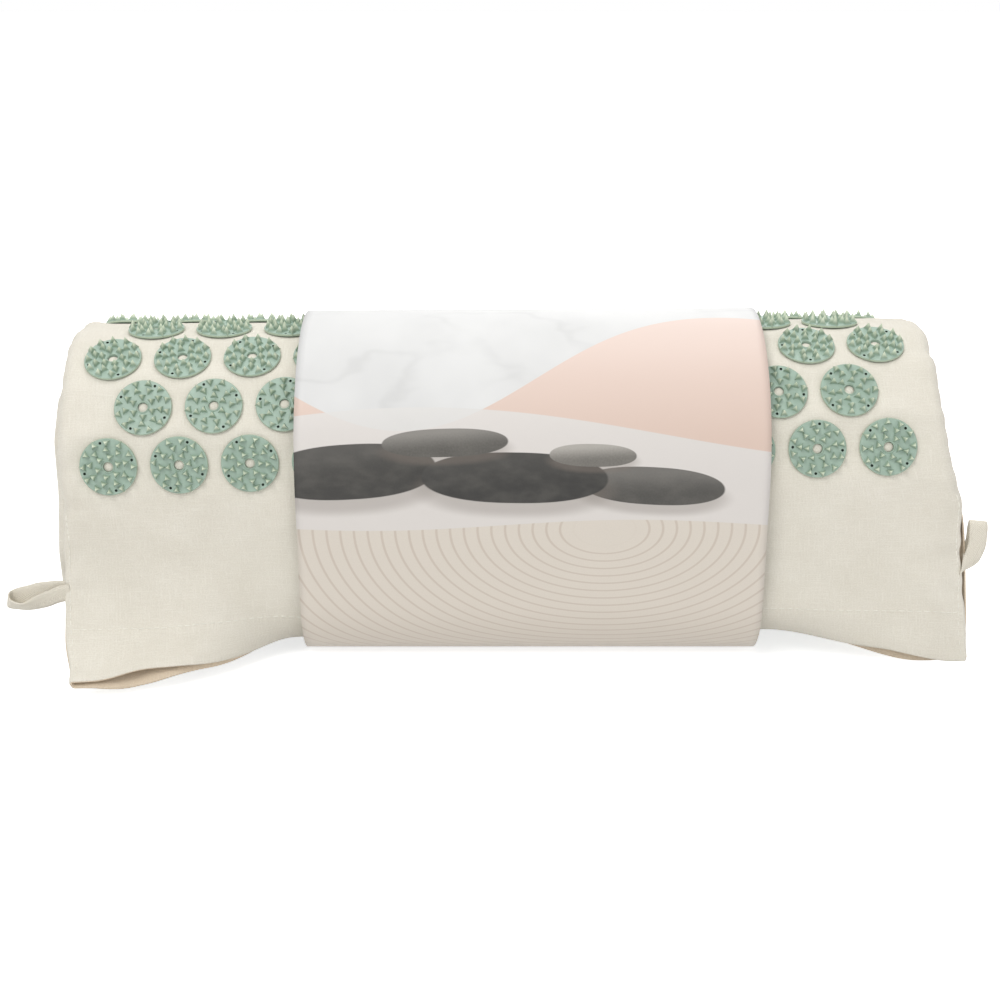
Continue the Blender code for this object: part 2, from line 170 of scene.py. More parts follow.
@dataclass(frozen=True)
class Signal:
    """Output of a node, reckoned with by way of further nodes."""

    nodes: "Nodes"
    socket: Socket

    def __add__(self, other: object) -> "Signal":
        """Sum."""
        return self.nodes.math("ADD", self, other)

    def __sub__(self, other: object) -> "Signal":
        """Difference."""
        return self.nodes.math("SUBTRACT", self, other)

    def __rsub__(self, other: float) -> "Signal":
        """Difference from a number."""
        return self.nodes.math("SUBTRACT", other, self)

    def __mul__(self, other: object) -> "Signal":
        """Product."""
        return self.nodes.math("MULTIPLY", self, other)

    def __truediv__(self, other: object) -> "Signal":
        """Quotient."""
        return self.nodes.math("DIVIDE", self, other)

    def __pow__(self, other: float) -> "Signal":
        """Power."""
        return self.nodes.math("POWER", self, other)

    def __abs__(self) -> "Signal":
        """Size without its sign."""
        return self.nodes.math("ABSOLUTE", self)

    def sine(self) -> "Signal":
        """Sine."""
        return self.nodes.math("SINE", self)

    def step(self, start: float, end: float) -> "Signal":
        """Smooth step from 0 at the start to 1 at the end.

        Args:
            start: Value that gives 0.
            end: Value that gives 1, which may be the lower one.

        Returns:
            The step.
        """
        low, high = (0.0, 1.0) if start < end else (1.0, 0.0)
        sockets = enumerate((self, min(start, end), max(start, end), low, high))
        node = self.nodes.add("MapRange", dict(sockets), interpolation_type="SMOOTHSTEP")
        return Signal(self.nodes, node.outputs[0])


@dataclass
class Nodes:
    """Node tree under way."""

    tree: bpy.types.NodeTree

    def put(self, source: object, target: Socket) -> None:
        """Links a signal or a socket, or sets a plain value, on a target socket.

        Args:
            source: What is put there.
            target: The socket.
        """
        source = getattr(source, "socket", source)
        if isinstance(source, Socket):
            self.tree.links.new(source, target)
        else:
            target.default_value = source

    def add(self, kind: str, inputs: dict | None = None, **settings: object) -> bpy.types.Node:
        """Adds a node.

        Args:
            kind: Node type without its ShaderNode prefix.
            inputs: What goes into its sockets, by name or number.
            **settings: Properties to set on it.

        Returns:
            The node.
        """
        node = self.tree.nodes.new("ShaderNode" + kind)
        for name, value in settings.items():
            setattr(node, name, value)
        for key, source in (inputs or {}).items():
            self.put(source, node.inputs[key])
        return node

    def math(self, operation: str, *terms: object) -> Signal:
        """Result of an operation on signals and numbers."""
        node = self.add("Math", dict(enumerate(terms)), operation=operation)
        return Signal(self, node.outputs[0])

    def seen(self, hidden: Socket, shown: Socket, target: Socket) -> None:
        """Shows one shader to camera, glossy and transmission rays, and another to the rest.

        Args:
            hidden: Shader for the rest.
            shown: Shader for those rays.
            target: Where the result goes.
        """
        path = self.add("LightPath").outputs
        share = path["Is Camera Ray"]
        for name in ("Is Glossy Ray", "Is Transmission Ray"):
            share = self.math("MAXIMUM", share, path[name])
        self.put(self.add("MixShader", {0: share, 1: hidden, 2: shown}).outputs[0], target)


class Paint(Nodes):
    """Nodes of one procedural material."""

    def __init__(self, name: str) -> None:
        """Starts a material.

        Args:
            name: Name of the finish.
        """
        self.material = bpy.data.materials.new(name)
        self.material.use_nodes = True
        super().__init__(self.material.node_tree)
        self.shader = self.tree.nodes["Principled BSDF"]

    def set(self, **values: object) -> None:
        """Sets inputs of the shader by name, with _ for a space."""
        for name, value in values.items():
            self.put(value, self.shader.inputs[name.replace("_", " ")])

    def mix(self, share: object, first: object, second: object) -> Signal:
        """Blend of two colours by a share of the second."""
        node = self.add("Mix", {0: share, 6: first, 7: second}, data_type="RGBA")
        return Signal(self, node.outputs[2])

    def places(self) -> tuple[Signal, ...]:
        """Reads the piece's own flat places.

        Returns:
            The vector, and its places across and along.
        """
        vector = self.add("Attribute", attribute_name="flat").outputs["Vector"]
        parts = self.add("SeparateXYZ", {0: vector}).outputs
        return tuple(Signal(self, socket) for socket in (vector, parts[0], parts[1]))

    def grain(self, vector: object, scale: Triple, detail: float = 3,
              rough: float = 0.55) -> Signal:
        """Adds a noise, stretched by its scale along each axis.

        Args:
            vector: Places to read it at.
            scale: Grains to the metre along each axis.
            detail: Levels of finer grain.
            rough: How much the finer grain counts.

        Returns:
            Shares of about 0.3 to 0.7.
        """
        place = self.add("Mapping", {0: vector, 3: scale}).outputs[0]
        noise = self.add("TexNoise", {"Vector": place, "Scale": 1, "Detail": detail,
                                      "Roughness": rough})
        return Signal(self, noise.outputs[0])

    def raise_by(self, height: Signal, distance: float, strength: float = 0.8) -> None:
        """Adds relief to the shader's normal, a height of 1 standing for the distance."""
        node = self.add("Bump", {"Strength": strength, "Distance": distance, "Height": height})
        self.set(Normal=node.outputs[0])


@dataclass(frozen=True)
class LinenFinish:
    """Plain weave of undyed slubbed yarn."""

    name: str = "linen"
    pale: Triple = (233, 229, 218)
    deep: Triple = (214, 208, 194)
    thread_pitch: float = 0.62 * MM
    wander: float = 1.6 * MM
    relief: float = 0.16 * MM

    def material(self) -> Material:
        """Builds the cloth.

        Returns:
            The material.
        """
        paint = Paint(self.name)
        vector, across, along = paint.places()
        drift = paint.grain(vector, (55, 55, 55), 2) * self.wander
        turns = math.pi / self.thread_pitch
        warp, weft = [((place + drift) * turns).sine() for place in (across, along)]
        over = (warp * weft).step(-0.3, 0.3)
        weave = abs(warp) * over + abs(weft) * (1 - over)
        slubs = paint.math("MAXIMUM", *[paint.grain(vector, scale).step(0.44, 0.74)
                                        for scale in ((1500, 110, 1), (95, 1500, 1))])
        gaps = paint.grain(vector, (1500, 1500, 1)).step(0.62, 0.36)
        mottle = paint.grain(vector, (38, 38, 1), 4)
        tone = (weave * 0.2 + slubs * 0.17 + mottle * 0.4 - gaps * 0.16).step(-0.08, 0.72)
        paint.set(Base_Color=paint.mix(tone, colour(*self.deep), colour(*self.pale)),
                  Roughness=0.92, Specular_IOR_Level=0.22,
                  Sheen_Weight=0.18, Sheen_Roughness=0.5)
        paint.raise_by((slubs * 0.7 + weave) * 0.6, self.relief)
        return paint.material


@dataclass(frozen=True)
class PlasticFinish:
    """Moulded sage green plastic; painted shade darkens the lower spikes, and the paler tips
    are partly translucent plastic, partly painted highlight.
    """

    name: str = "sage_plastic"
    plate: Triple = (163, 184, 170)
    # foot is painted shade on the spikes just above the plate; tip is a paler green, partly
    # translucent plastic and partly painted highlight
    foot: Triple = (138, 159, 138)
    tip: Triple = (222, 230, 208)

    def material(self) -> Material:
        """Builds the plastic.

        Returns:
            The material.
        """
        paint = Paint(self.name)
        rise = Signal(paint, paint.add("Attribute", attribute_name="rise").outputs["Fac"])
        places = paint.add("TexCoord").outputs["Object"]
        shade = paint.mix(paint.grain(places, (160, 160, 160)),
                          colour(*[0.955 * c for c in self.plate]), colour(*self.plate))
        # Painted shade: the spikes take the darker foot colour from just above the plate
        shade = paint.mix(rise.step(0, 0.22), shade, colour(*self.foot))
        frost = paint.grain(places, (2600, 2600, 2600), 2)
        # Towards the tips: paler green, partly translucent plastic and partly painted highlight
        paint.set(Base_Color=paint.mix(rise.step(0.1, 0.82), shade, colour(*self.tip)),
                  Roughness=frost * 0.22 + 0.34, Specular_IOR_Level=0.42)
        paint.raise_by(frost, 0.05 * MM, 0.5)
        return paint.material


@dataclass(frozen=True)
class RecessShadeFinish:
    """Painted shade: a flat dark green on the floors and walls of the small recesses in a disc.
    """

    name: str = "disc_recess_shade"
    tone: Triple = (50, 66, 54)

    def material(self) -> Material:
        """Builds the finish.

        Returns:
            The material.
        """
        paint = Paint(self.name)
        # Painted shade: dark green standing in for the shade deep in the recesses
        paint.set(Base_Color=colour(*self.tone), Roughness=0.7)
        return paint.material


@dataclass(frozen=True)
class WebbingFinish:
    """Woven cotton tape with a slanting rib."""

    name: str = "webbing"
    pale: Triple = (232, 227, 214)
    deep: Triple = (205, 197, 180)
    rib_pitch: float = 1.1 * MM
    relief: float = 0.16 * MM

    def material(self) -> Material:
        """Builds the tape.

        Returns:
            The material.
        """
        paint = Paint(self.name)
        vector, across, along = paint.places()
        turns = 2 * math.pi / self.rib_pitch
        rib = ((abs(across) + along) * turns).sine() * 0.5 + 0.5
        yarn = (across * (1.9 * turns)).sine() * 0.5 + 0.5
        fuzz = paint.grain(vector, (1300, 500, 1))
        tone = rib * 0.45 + fuzz * 0.8
        paint.set(Base_Color=paint.mix(tone, colour(*self.deep), colour(*self.pale)),
                  Roughness=0.88, Specular_IOR_Level=0.25, Sheen_Weight=0.2)
        paint.raise_by(fuzz * 0.4 + yarn * 0.4 + rib, self.relief)
        return paint.material


@dataclass(frozen=True)
class CardFinish:
    """Satin card sleeve printed with pebbles on rippled fields of marble, peach and sand."""

    name: str = "card_print"
    field_height: float = -17 * MM
    soft_edge: float = 0.25 * MM
    # Pebbles: place across, place up the front, half width, half height, slope, tone
    pebbles: tuple[tuple[float, ...], ...] = (
        (-0.0700, 0.0090, 0.0400, 0.0130, 0.16, 62),
        (0.0700, 0.0020, 0.0330, 0.0090, -0.20, 84),
        (0.0060, 0.0060, 0.0430, 0.0120, -0.06, 52),
        (-0.0260, 0.0225, 0.0290, 0.0065, 0.10, 104),
        (0.0420, 0.0165, 0.0200, 0.0052, -0.08, 132),
    )
    ring_centre: tuple[float, float] = (0.048, -0.019)
    ring_pitch: float = 6.4 * MM
    ring_count: int = 30

    def marble(self, paint: Paint, vector: Signal) -> Signal:
        """Colour of pale veined stone.

        Args:
            paint: Material under way.
            vector: Flat places.

        Returns:
            The colour.
        """
        fold = abs(paint.grain(vector, (11, 19, 1), 4, 0.42) - 0.5)
        cloud = paint.grain(vector, (17, 13, 2)).step(0.35, 0.7)
        ground = paint.mix(cloud, colour(217, 217, 216), colour(208, 208, 207))
        return paint.mix(fold.step(0.03, 0) * cloud * 0.55, ground, colour(196, 196, 195))

    def pebble(self, paint: Paint, places: tuple[Signal, ...], base: Signal,
               spec: tuple[float, ...]) -> Signal:
        """Lays one smooth pebble with a lit upper edge on the print.

        Args:
            paint: Material under way.
            places: Flat places, and those across and up the card's front.
            base: Colour below it.
            spec: The pebble's place, size, slope and tone.

        Returns:
            Colour with the pebble.
        """
        vector, across, along = places
        centre, height, half_width, half_height, slope, tone = spec
        right = (across - centre) / half_width
        up = (along - height) / half_height - right * slope
        wide = abs(right) ** 2.4
        inside = (wide + abs(up) ** 2.1).step(1.04, 0.96)
        light = (right * -0.25 + up).step(-0.5, 1.15)
        light = paint.grain(vector, (1100, 1100, 1), 2) * 0.3 + light
        low, high = [colour(*[tone * share for share in shares])
                     for shares in ((0.72, 0.7, 0.66), (1.28, 1.25, 1.2))]
        cloud = paint.grain(vector, (70, 120, 1), 2).step(0.35, 0.75)
        stone = paint.mix(cloud * 0.1, paint.mix(light, low, high), colour(150, 146, 138))
        shade = (wide + abs(up + 0.5) ** 2).step(1.5, 0.6)
        base = paint.mix(shade * 0.4, base, colour(118, 108, 100))
        return paint.mix(inside, base, stone)

    def raked(self, paint: Paint, places: tuple[Signal, ...], sand: Signal) -> Signal:
        """Draws rings raked into the sand round one spot.

        Args:
            paint: Material under way.
            places: Flat places, and those across and up the card's front.
            sand: Colour of the sand.

        Returns:
            Colour with the rings.
        """
        right = places[1] - self.ring_centre[0]
        up = (places[2] - self.ring_centre[1]) * 1.7
        reach = paint.math("SQRT", right * right + up * up) / self.ring_pitch
        line = (reach * (2 * math.pi)).sine().step(0.72, 0.98)
        line = line * reach.step(self.ring_count, self.ring_count - 4) * reach.step(2, 3.4)
        return paint.mix(line * 0.42, sand, colour(176, 158, 143))

    def material(self) -> Material:
        """Builds the printed side of the card.

        Returns:
            The material.
        """
        paint = Paint(self.name)
        places = vector, across, along = paint.places()
        edge = (self.soft_edge, -self.soft_edge)
        crest = (across * 21 - 0.6).sine() * (34 * MM) + 62 * MM
        fall = along.step(100 * MM, -10 * MM)
        peach = paint.mix(fall, colour(222, 203, 193), colour(208, 185, 171))
        shade = paint.mix((along - crest).step(*edge), self.marble(paint, vector), peach)
        low_crest = (across * 14 + 2.1).sine() * (13 * MM) + 26 * MM
        near = (along - low_crest).step(*edge)
        shade = paint.mix(near * 0.85, shade, colour(213, 211, 208))
        for spec in self.pebbles:
            shade = self.pebble(paint, places, shade, spec)
        shore = (across * 26).sine() * (2.6 * MM) + self.field_height
        sand = paint.mix(paint.grain(vector, (1400, 1400, 1), 2),
                         colour(206, 198, 186), colour(214, 206, 196))
        sand = self.raked(paint, places, sand)
        fibre = paint.grain(vector, (500, 500, 1), 4)
        paint.set(Base_Color=paint.mix((along - shore).step(*edge), shade, sand),
                  Specular_IOR_Level=0.4, Roughness=fibre * 0.16 + 0.4)
        paint.raise_by(fibre, 0.04 * MM, 0.5)
        return paint.material


@dataclass(frozen=True)
class PlainFinish:
    """One soft colour with a fine grain of its own, as on thread, bare card, tape or foam."""

    name: str
    tone: Triple
    grain_scale: float
    relief: float
    roughness: float = 0.85
    contrast: float = 0.1
    sheen: float = 0

    def material(self) -> Material:
        """Builds the finish.

        Returns:
            The material.
        """
        paint = Paint(self.name)
        places = paint.add("TexCoord").outputs["Object"]
        fine = paint.grain(places, (self.grain_scale,) * 3)
        broad = paint.grain(places, (self.grain_scale * 0.06,) * 3, 2)
        low, high = [colour(*[min(channel * share, 250) for channel in self.tone])
                     for share in (1 - self.contrast, 1 + self.contrast)]
        share = (broad * 0.5 + fine * 0.5).step(0.3, 0.7)
        paint.set(Base_Color=paint.mix(share, low, high), Roughness=self.roughness,
                  Specular_IOR_Level=0.3, Sheen_Weight=self.sheen)
        paint.raise_by(fine, self.relief)
        return paint.material


@dataclass
class Blank:
    """Points, faces and marks of a mesh before it becomes a piece."""

    points: Array
    faces: list[tuple[int, ...]]
    slots: list[int] = field(default_factory=list)
    marks: dict[str, Array] = field(default_factory=dict)

    def moved(self, place: Matrix) -> "Blank":
        """The same mesh at another place."""
        grid = np.array(place)
        return replace(self, points=self.points @ grid[:3, :3].T + grid[:3, 3])


def joined(blanks: list[Blank]) -> Blank:
    """Puts meshes into one.

    Args:
        blanks: Meshes with the same marks.

    Returns:
        The one mesh.
    """
    faces, slots, start = [], [], 0
    for blank in blanks:
        faces += [tuple(corner + start for corner in face) for face in blank.faces]
        slots += blank.slots
        start += len(blank.points)
    marks = {name: np.concatenate([blank.marks[name] for blank in blanks])
             for name in blanks[0].marks}
    return Blank(np.concatenate([blank.points for blank in blanks]), faces, slots, marks)


def tube(rings: Array, is_flipped: bool = False) -> Blank:
    """Closes rings of points into one solid.

    Args:
        rings: Points by ring and side, from the bottom up.
        is_flipped: Whether the rings turn the other way.

    Returns:
        The solid, its two caps first.
    """
    index = np.arange(rings[..., 0].size).reshape(rings.shape[:2])
    after = np.roll(index, -1, axis=1)
    walls = [index[:-1], after[:-1], after[1:], index[1:]]
    caps = [index[0, ::-1], index[-1]]
    if is_flipped:
        walls, caps = walls[:1] + walls[:0:-1], [cap[::-1] for cap in caps]
    faces = [*caps, *np.stack(walls, -1).reshape(-1, 4)]
    return Blank(rings.reshape(-1, 3), [tuple(face.tolist()) for face in faces])


def sheet(outer: Array, inner: Array, u: Array, v: Array, bare_slot: int = 0,
          is_flipped: bool = False) -> Blank:
    """Closes two matching grids of points into one thin solid.

    Args:
        outer: Points of the side that shows, by row and column.
        inner: Points of the other side.
        u: Flat place of each point across.
        v: Flat place along.
        bare_slot: Finish of the other side and of the rims.
        is_flipped: Whether the grids turn the other way.

    Returns:
        The solid.
    """
    count = outer[..., 0].size
    index = np.arange(count).reshape(outer.shape[:2])
    low, high = index[:-1], index[1:]
    front = np.stack([low[:, :-1], low[:, 1:], high[:, 1:], high[:, :-1]], -1).reshape(-1, 4)
    rims = [np.stack([near[:-1], near[1:], near[1:] + count, near[:-1] + count], -1)
            for near in (index[0, ::-1], index[-1], index[:, 0], index[::-1, -1])]
    faces = np.concatenate([front, front[:, ::-1] + count, *rims])
    if is_flipped:
        faces = faces[:, ::-1]
    slots = [0] * len(front) + [bare_slot] * (len(faces) - len(front))
    points = np.concatenate([outer.reshape(-1, 3), inner.reshape(-1, 3)])
    flat = np.stack([u + 0 * v, v + 0 * u, 0 * (u + v)], -1).reshape(-1, 3)
    return Blank(points, [tuple(face) for face in faces.tolist()], slots,
                 {"flat": np.concatenate([flat, flat])})


def section(half: Array, edge: Array, middle: int, turns: int) -> tuple[Array, Array]:
    """Places across the mat, close together where its sides are rounded.

    Args:
        half: Half width of the flat part, by row.
        edge: Radius of the sides, by row.
        middle: Columns of the flat part.
        turns: Columns of each side.

    Returns:
        The places, and how far each is round the side, by row and column.
    """
    angle = np.linspace(0, 0.5 * np.pi, turns + 1)[1:]
    flat = np.linspace(-1, 1, middle)
    sides, turn = half + edge * np.sin(angle), 1 - np.cos(angle)
    u = np.concatenate([-sides[:, ::-1], flat * half, sides], 1)
    return u, np.concatenate([turn[::-1], 0 * flat, turn]) + 0 * u


@dataclass
class Workshop:
    """Turns blanks into pieces that ride on the frame, and keeps the finishes."""

    finishes: dict[str, Material] = field(default_factory=dict)

    def __post_init__(self) -> None:
        """Makes each finish once."""
        for finish in (
            LinenFinish(), LinenFinish("lining", (227, 221, 207), (206, 197, 179)),
            # The inside finish is a darker, warmer copy of the linen: painted shade for the
            # cover's inner faces and rims in the mouth
            LinenFinish("inside", (229, 214, 192), (208, 190, 166)),
            PlasticFinish(), RecessShadeFinish(), WebbingFinish(), CardFinish(),
            PlainFinish("bare_card", (228, 227, 224), 900, 0.03 * MM),
            PlainFinish("thread", (234, 231, 221), 3000, 0.05 * MM, 0.7, 0.05, 0.1),
            PlainFinish("foam", (236, 226, 196), 700, 0.4 * MM, 0.95, 0.06),
            PlainFinish("hook_tape", (206, 198, 182), 1800, 0.4 * MM, 0.6, 0.12),
            PlainFinish("loop_tape", (214, 207, 192), 1100, 0.5 * MM, 0.95, 0.12, 0.4),
        ):
            self.finishes[finish.name] = finish.material()

    def mesh(self, name: str, blank: Blank, is_smooth: bool = True) -> bpy.types.Mesh:
        """Makes a mesh from a blank.

        Args:
            name: Name of the mesh.
            blank: Its points, faces and marks.
            is_smooth: Whether its faces are shaded smooth.

        Returns:
            The mesh.
        """
        mesh = bpy.data.meshes.new(name)
        mesh.from_pydata(blank.points.tolist(), [], blank.faces)
        if is_smooth:
            mesh.shade_smooth()
        for mark, values in blank.marks.items():
            kind, key = ("FLOAT_VECTOR", "vector") if values.ndim == 2 else ("FLOAT", "value")
            layer = mesh.attributes.new(mark, kind, "POINT")
            layer.data.foreach_set(key, values.astype(np.float32).ravel())
        if blank.slots:
            mesh.polygons.foreach_set("material_index", blank.slots)
        mesh.validate()
        return mesh

    def place(self, name: str, mesh: bpy.types.Mesh, finishes: list[str], body: Body | None,
              slot: str, node: str = "", seat: Matrix | None = None) -> Object:
        """Puts a piece into the scene, on its body.

        Args:
            name: Name of the piece.
            mesh: Its mesh.
            finishes: Names of its finishes, in the order of the mesh's slots.
            body: Body that it rides on, or None to leave it on no body.
            slot: Material slot of the record; not used.
            node: CAD node that it replaces, if any.
            seat: Where it sits, if its mesh isn't in the row frame.

        Returns:
            The piece.
        """
        made = bpy.data.objects.new(name, mesh)
        bpy.context.scene.collection.objects.link(made)
        if seat is not None:
            made.matrix_world = seat
        if not mesh.materials:
            for finish in finishes:
                mesh.materials.append(self.finishes[finish])
        if body:
            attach(made, body.value)
        if node:
            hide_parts(node)
        LOG.info("%s: %d points on %s", name, len(mesh.vertices),
                 body.value if body else "two bodies")
        return made


@dataclass
class Winding:
    """Oval spiral that the mat is wound to, and the hanging tail at its outer end."""

    rows: int = 20
    long_row: int = 12
    column_pitch: float = 32.8 * MM
    row_pitch: float = 27.7 * MM
    grid_offset: float = -1.75 * MM
    half_width: float = 206.5 * MM
    thickness: float = 20 * MM
    inner_margin: float = 24 * MM
    foam_margin: float = 22 * MM
    tail_length: float = 104.5 * MM
    tail_thickness: float = 5.2 * MM
    closed_end: float = 2.6 * MM
    clearance: float = 0.3 * MM
    disc_height: float = 5 * MM
    band_thickness: float = 0.4 * MM
    turn_clearance: float = 0.8 * MM
    radius: float = 62.4 * MM
    axis_height: float = 92.4 * MM
    corner: float = 31 * MM
    inner_corner: float = 24.5 * MM
    first_rise: float = 14.3 * MM
    skew: float = 0.022
    taller_right: float = 0.008
    tail_bend: float = 28.2 * MM
    kick_start: float = 34 * MM
    tuck_end: float = -58 * MM
    left_kick: float = math.radians(-65)
    right_kick: float = math.radians(-8)
    band_left: float = -95.5 * MM
    band_right: float = 123.8 * MM
    slide_room: float = 6 * MM
    corner_room: float = 5 * MM
    left_gape: float = 3.5 * MM
    right_gape: float = 3 * MM
    lean: float = 4 * MM
    spread: float = 3 * MM
    right_push: float = 4.1 * MM
    left_pull: float = 4.5 * MM
    left_bulge: float = 2.6 * MM
    left_lift: float = 3 * MM
    corner_close: float = 4.4 * MM
    notch: float = 2.5 * MM
    notch_reach: float = 7 * MM
    hem_lift: float = 5.5 * MM
    corner_drop: float = 5.8 * MM
    back_lift: float = 2 * MM
    right_lift: float = 4 * MM
    band_lift: float = 3.5 * MM
    right_drop: float = 6.4 * MM
    seam_gather: float = 2.4 * MM
    samples: int = 240
    tail_steps: int = 24

    def __post_init__(self) -> None:
        """Finds the roll in the frame and measures the spiral."""
        low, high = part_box("belly_band")
        centre = 0.5 * (low + high)
        self.origin = np.array([centre.x - 0.5 * (self.band_left + self.band_right),
                                centre.y, 0])
        self.floor = self.disc_height + self.clearance + self.band_thickness
        self.tail_inset = self.tail_thickness + self.disc_height + self.turn_clearance
        self.full_inset = self.thickness + self.disc_height + self.turn_clearance
        self.track = self.oval(np.arange(10 * self.samples) / self.samples)
        self.lengths = running_length(self.track)
        along = unit(np.gradient(self.track, self.lengths, axis=0))
        self.normals = np.stack([-along[:, 1], along[:, 0]], -1)
        self.outer_turn = float(self.lengths[4 * self.samples]) - self.first_rise
        self.last_row = (self.rows - 1) * self.row_pitch
        self.end = self.last_row + self.inner_margin

    def oval(self, place: Array) -> Array:
        """Points of the spiral: arc, back, corner, underside, corner and front.

        Args:
            place: Places counted in those sections.

        Returns:
            Points across and up.
        """
        further = self.full_inset - self.tail_inset
        inset = self.tail_inset * smooth(place, 2.9, 4.2) + further * smooth(place, 4.95, 5.75)
        half, low = self.radius - inset, self.floor + inset
        tighter = self.corner - self.inner_corner
        corner = self.corner - smooth(inset, 0, self.tail_inset) * tighter
        run, foot, share = half - corner, low + corner, place - np.floor(place)
        bend = 0.5 * np.pi * share
        rise = self.axis_height - foot
        part = np.floor(place).astype(int) % 6
        across = np.choose(part, [
            -half * np.cos(2 * bend), half, run + corner * np.cos(bend),
            run - 2 * run * share, -run - corner * np.sin(bend), -half])
        up = np.choose(part, [
            self.axis_height + half * np.sin(2 * bend), self.axis_height - rise * share,
            foot - corner * np.sin(bend), low, foot - corner * np.cos(bend),
            foot + rise * share])
        return np.stack([across, up], -1)

    def heading(self, x: Array, run: Array) -> Array:
        """Lean of the tail: under the roll at its middle, forward at its corners.

        Args:
            x: Place along the roll.
            run: Length down the tail.

        Returns:
            Angles from straight down.
        """
        half = self.half_width
        left, right = self.band_left - self.slide_room, self.band_right + self.corner_room
        tuck = np.minimum(smooth(x, -0.92 * half, self.tuck_end), smooth(x, 0.97 * half, right))
        kick = (self.left_kick * smooth(x, left, -0.74 * half)
                + self.right_kick * smooth(x, right, half))
        front = self.axis_height - self.floor - self.corner
        bend = np.clip((run - front) / self.tail_bend, 0, 0.5 * np.pi)
        total = self.tail_length - self.first_rise
        out = np.clip((run - self.kick_start) / (total - self.kick_start), 0, None)
        return tuck * bend + kick * out

    def thickness_at(self, x: Array, v: Array) -> Array:
        """Thickness of the mat: full over the foam, two layers in the tail.

        Args:
            x: Place along the roll.
            v: Place along the mat.

        Returns:
            Thicknesses.
        """
        a, b = x / self.half_width, v / self.tail_length
        closing = smooth(v, self.end, self.last_row + 0.5 * self.row_pitch)
        closed = self.closed_end + (self.thickness - self.closed_end) * closing
        gape = (self.left_gape * smooth(a, -0.74, -0.86)
                - self.corner_close * smooth(a, -0.82, -0.94)
                + self.right_gape * smooth(a, 0.77, 1))
        thin = self.tail_thickness + gape * smooth(b, -0.77, -1)
        stuffed = smooth(v, -2.2 * self.foam_margin, -0.7 * self.foam_margin)
        return np.where(v > 0, closed, thin + (self.thickness - thin) * stuffed)

    def point(self, u: Array, v: Array, depth: Array) -> Array:
        """Points of the wound mat in the row frame.

        Args:
            u: Places across the mat.
            v: Places along it.
            depth: Depths below its disc side.

        Returns:
            Points.
        """
        u, v, depth = np.broadcast_arrays(u, v, depth)
        fall = smooth(v, 0, -self.tail_length)
        x = u - v * self.skew + fall * (self.lean + self.spread * u / self.half_width)
        length = self.first_rise + v + u * self.skew
        wound = [np.interp(length, self.lengths, self.track[:, axis])
                 - np.interp(length, self.lengths, self.normals[:, axis]) * depth
                 for axis in (0, 1)]
        run = np.maximum(-length, 0)
        across, up = -self.radius + 0 * run, self.axis_height + 0 * run
        for index in range(self.tail_steps):
            lean = self.heading(x, (index + 0.5) * run / self.tail_steps)
            across = across + run / self.tail_steps * np.sin(lean)
            up = up - run / self.tail_steps * np.cos(lean)
        lean = self.heading(x, run)
        y = np.where(length >= 0, wound[0], across + np.cos(lean) * depth)
        z = np.where(length >= 0, wound[1], up + np.sin(lean) * depth)
        rise = 1 + self.taller_right * x / self.half_width
        return np.stack([x, y, z * rise], -1) + self.origin

    def settle(self, u: Array, v: Array, face: Face) -> tuple[Array, Array]:
        """Small shifts of the cloth: hem drawn up at the left, ends pulled in or out.

        Args:
            u: Places across.
            v: Places along.
            face: The side.

        Returns:
            Places across and along after them.
        """
        a, b = u / self.half_width, v / self.tail_length
        corner = smooth(b, -0.8, -1)
        right = smooth(a, 0.5, 1) * (smooth(b, 0.19, -0.26) + smooth(b, -0.1, -0.36))
        left = self.left_pull * corner - self.left_bulge * bump(b, -0.65, 0.42)
        notch = smooth(a, -0.93, -1) * bump(v, 1.05 * self.row_pitch, self.notch_reach)
        across = self.right_push * right + left * smooth(a, -0.85, -1) + self.notch * notch
        v = v - self.corner_close * smooth(a, -0.82, -0.94) * corner
        b = v / self.tail_length
        edge, corner, hem = smooth(b, -0.5, -1), smooth(b, -0.8, -1), smooth(b, 0, -0.8)
        by_band = smooth(a, 0.75, 0.58) * smooth(a, 0.1, 0.45) * edge
        if face is Face.BACK:
            middle = np.minimum(smooth(a, -0.82, -0.7), smooth(a, -0.36, -0.52))
            up = (self.back_lift * (bump(a, -0.68, 0.22) - 1.8 * smooth(a, 0.74, 0.92))
                  + 1.3 * self.left_lift * middle)
            return u + across, v + up * edge + 1.35 * self.band_lift * by_band
        up = (hem * (self.hem_lift * smooth(a, -0.1, -0.5)
                     + self.right_lift * smooth(a, 0.2, 0.58))
              + self.band_lift * by_band + self.left_lift * bump(a, -0.63, 0.16) * edge
              - corner * (self.corner_drop * smooth(a, -0.76, -1)
                          + self.right_drop * smooth(a, 0.8, 0.97)))
        gather = smooth(b, -0.3, -0.5) * smooth(b, -1, -0.88) * (1 + 0.35 * np.sin(b / 0.08))
        return u + across - self.seam_gather * smooth(a, 0.92, 1) * gather, v + up

    def skin(self, u: Array, v: Array, share: Array, wall: float | Array,
             face: Face) -> Array:
        """Points on one side of the mat, flat between the rows' bending lines.

        Args:
            u: Places across.
            v: Places along.
            share: Share of the way in to the side seam.
            wall: Depth below the side's own surface.
            face: The side.

        Returns:
            Points.
        """
        first = -0.5 * self.row_pitch
        line = np.minimum(np.floor((v - first) / self.row_pitch), self.rows - 1)
        is_facet = (v >= first) & (v <= first + self.rows * self.row_pitch)
        low = np.where(is_facet, first + line * self.row_pitch, v)
        high = np.where(is_facet, low + self.row_pitch, v)
        ends = []
        for station in (low, high):
            thick = self.thickness_at(u - station * self.skew, station)
            inward = share * (0.5 * thick - 0.06 * MM) + wall
            depth = inward if face is Face.TOP else thick - inward
            ends.append(self.point(*self.settle(u, station, face), depth))
        return ends[0] + (ends[1] - ends[0]) * ((v - low) / self.row_pitch)[..., None]


@dataclass
class Part:
    """One kind of piece, laid on the wound mat and finished in the workshop."""

    shop: Workshop
    mat: Winding


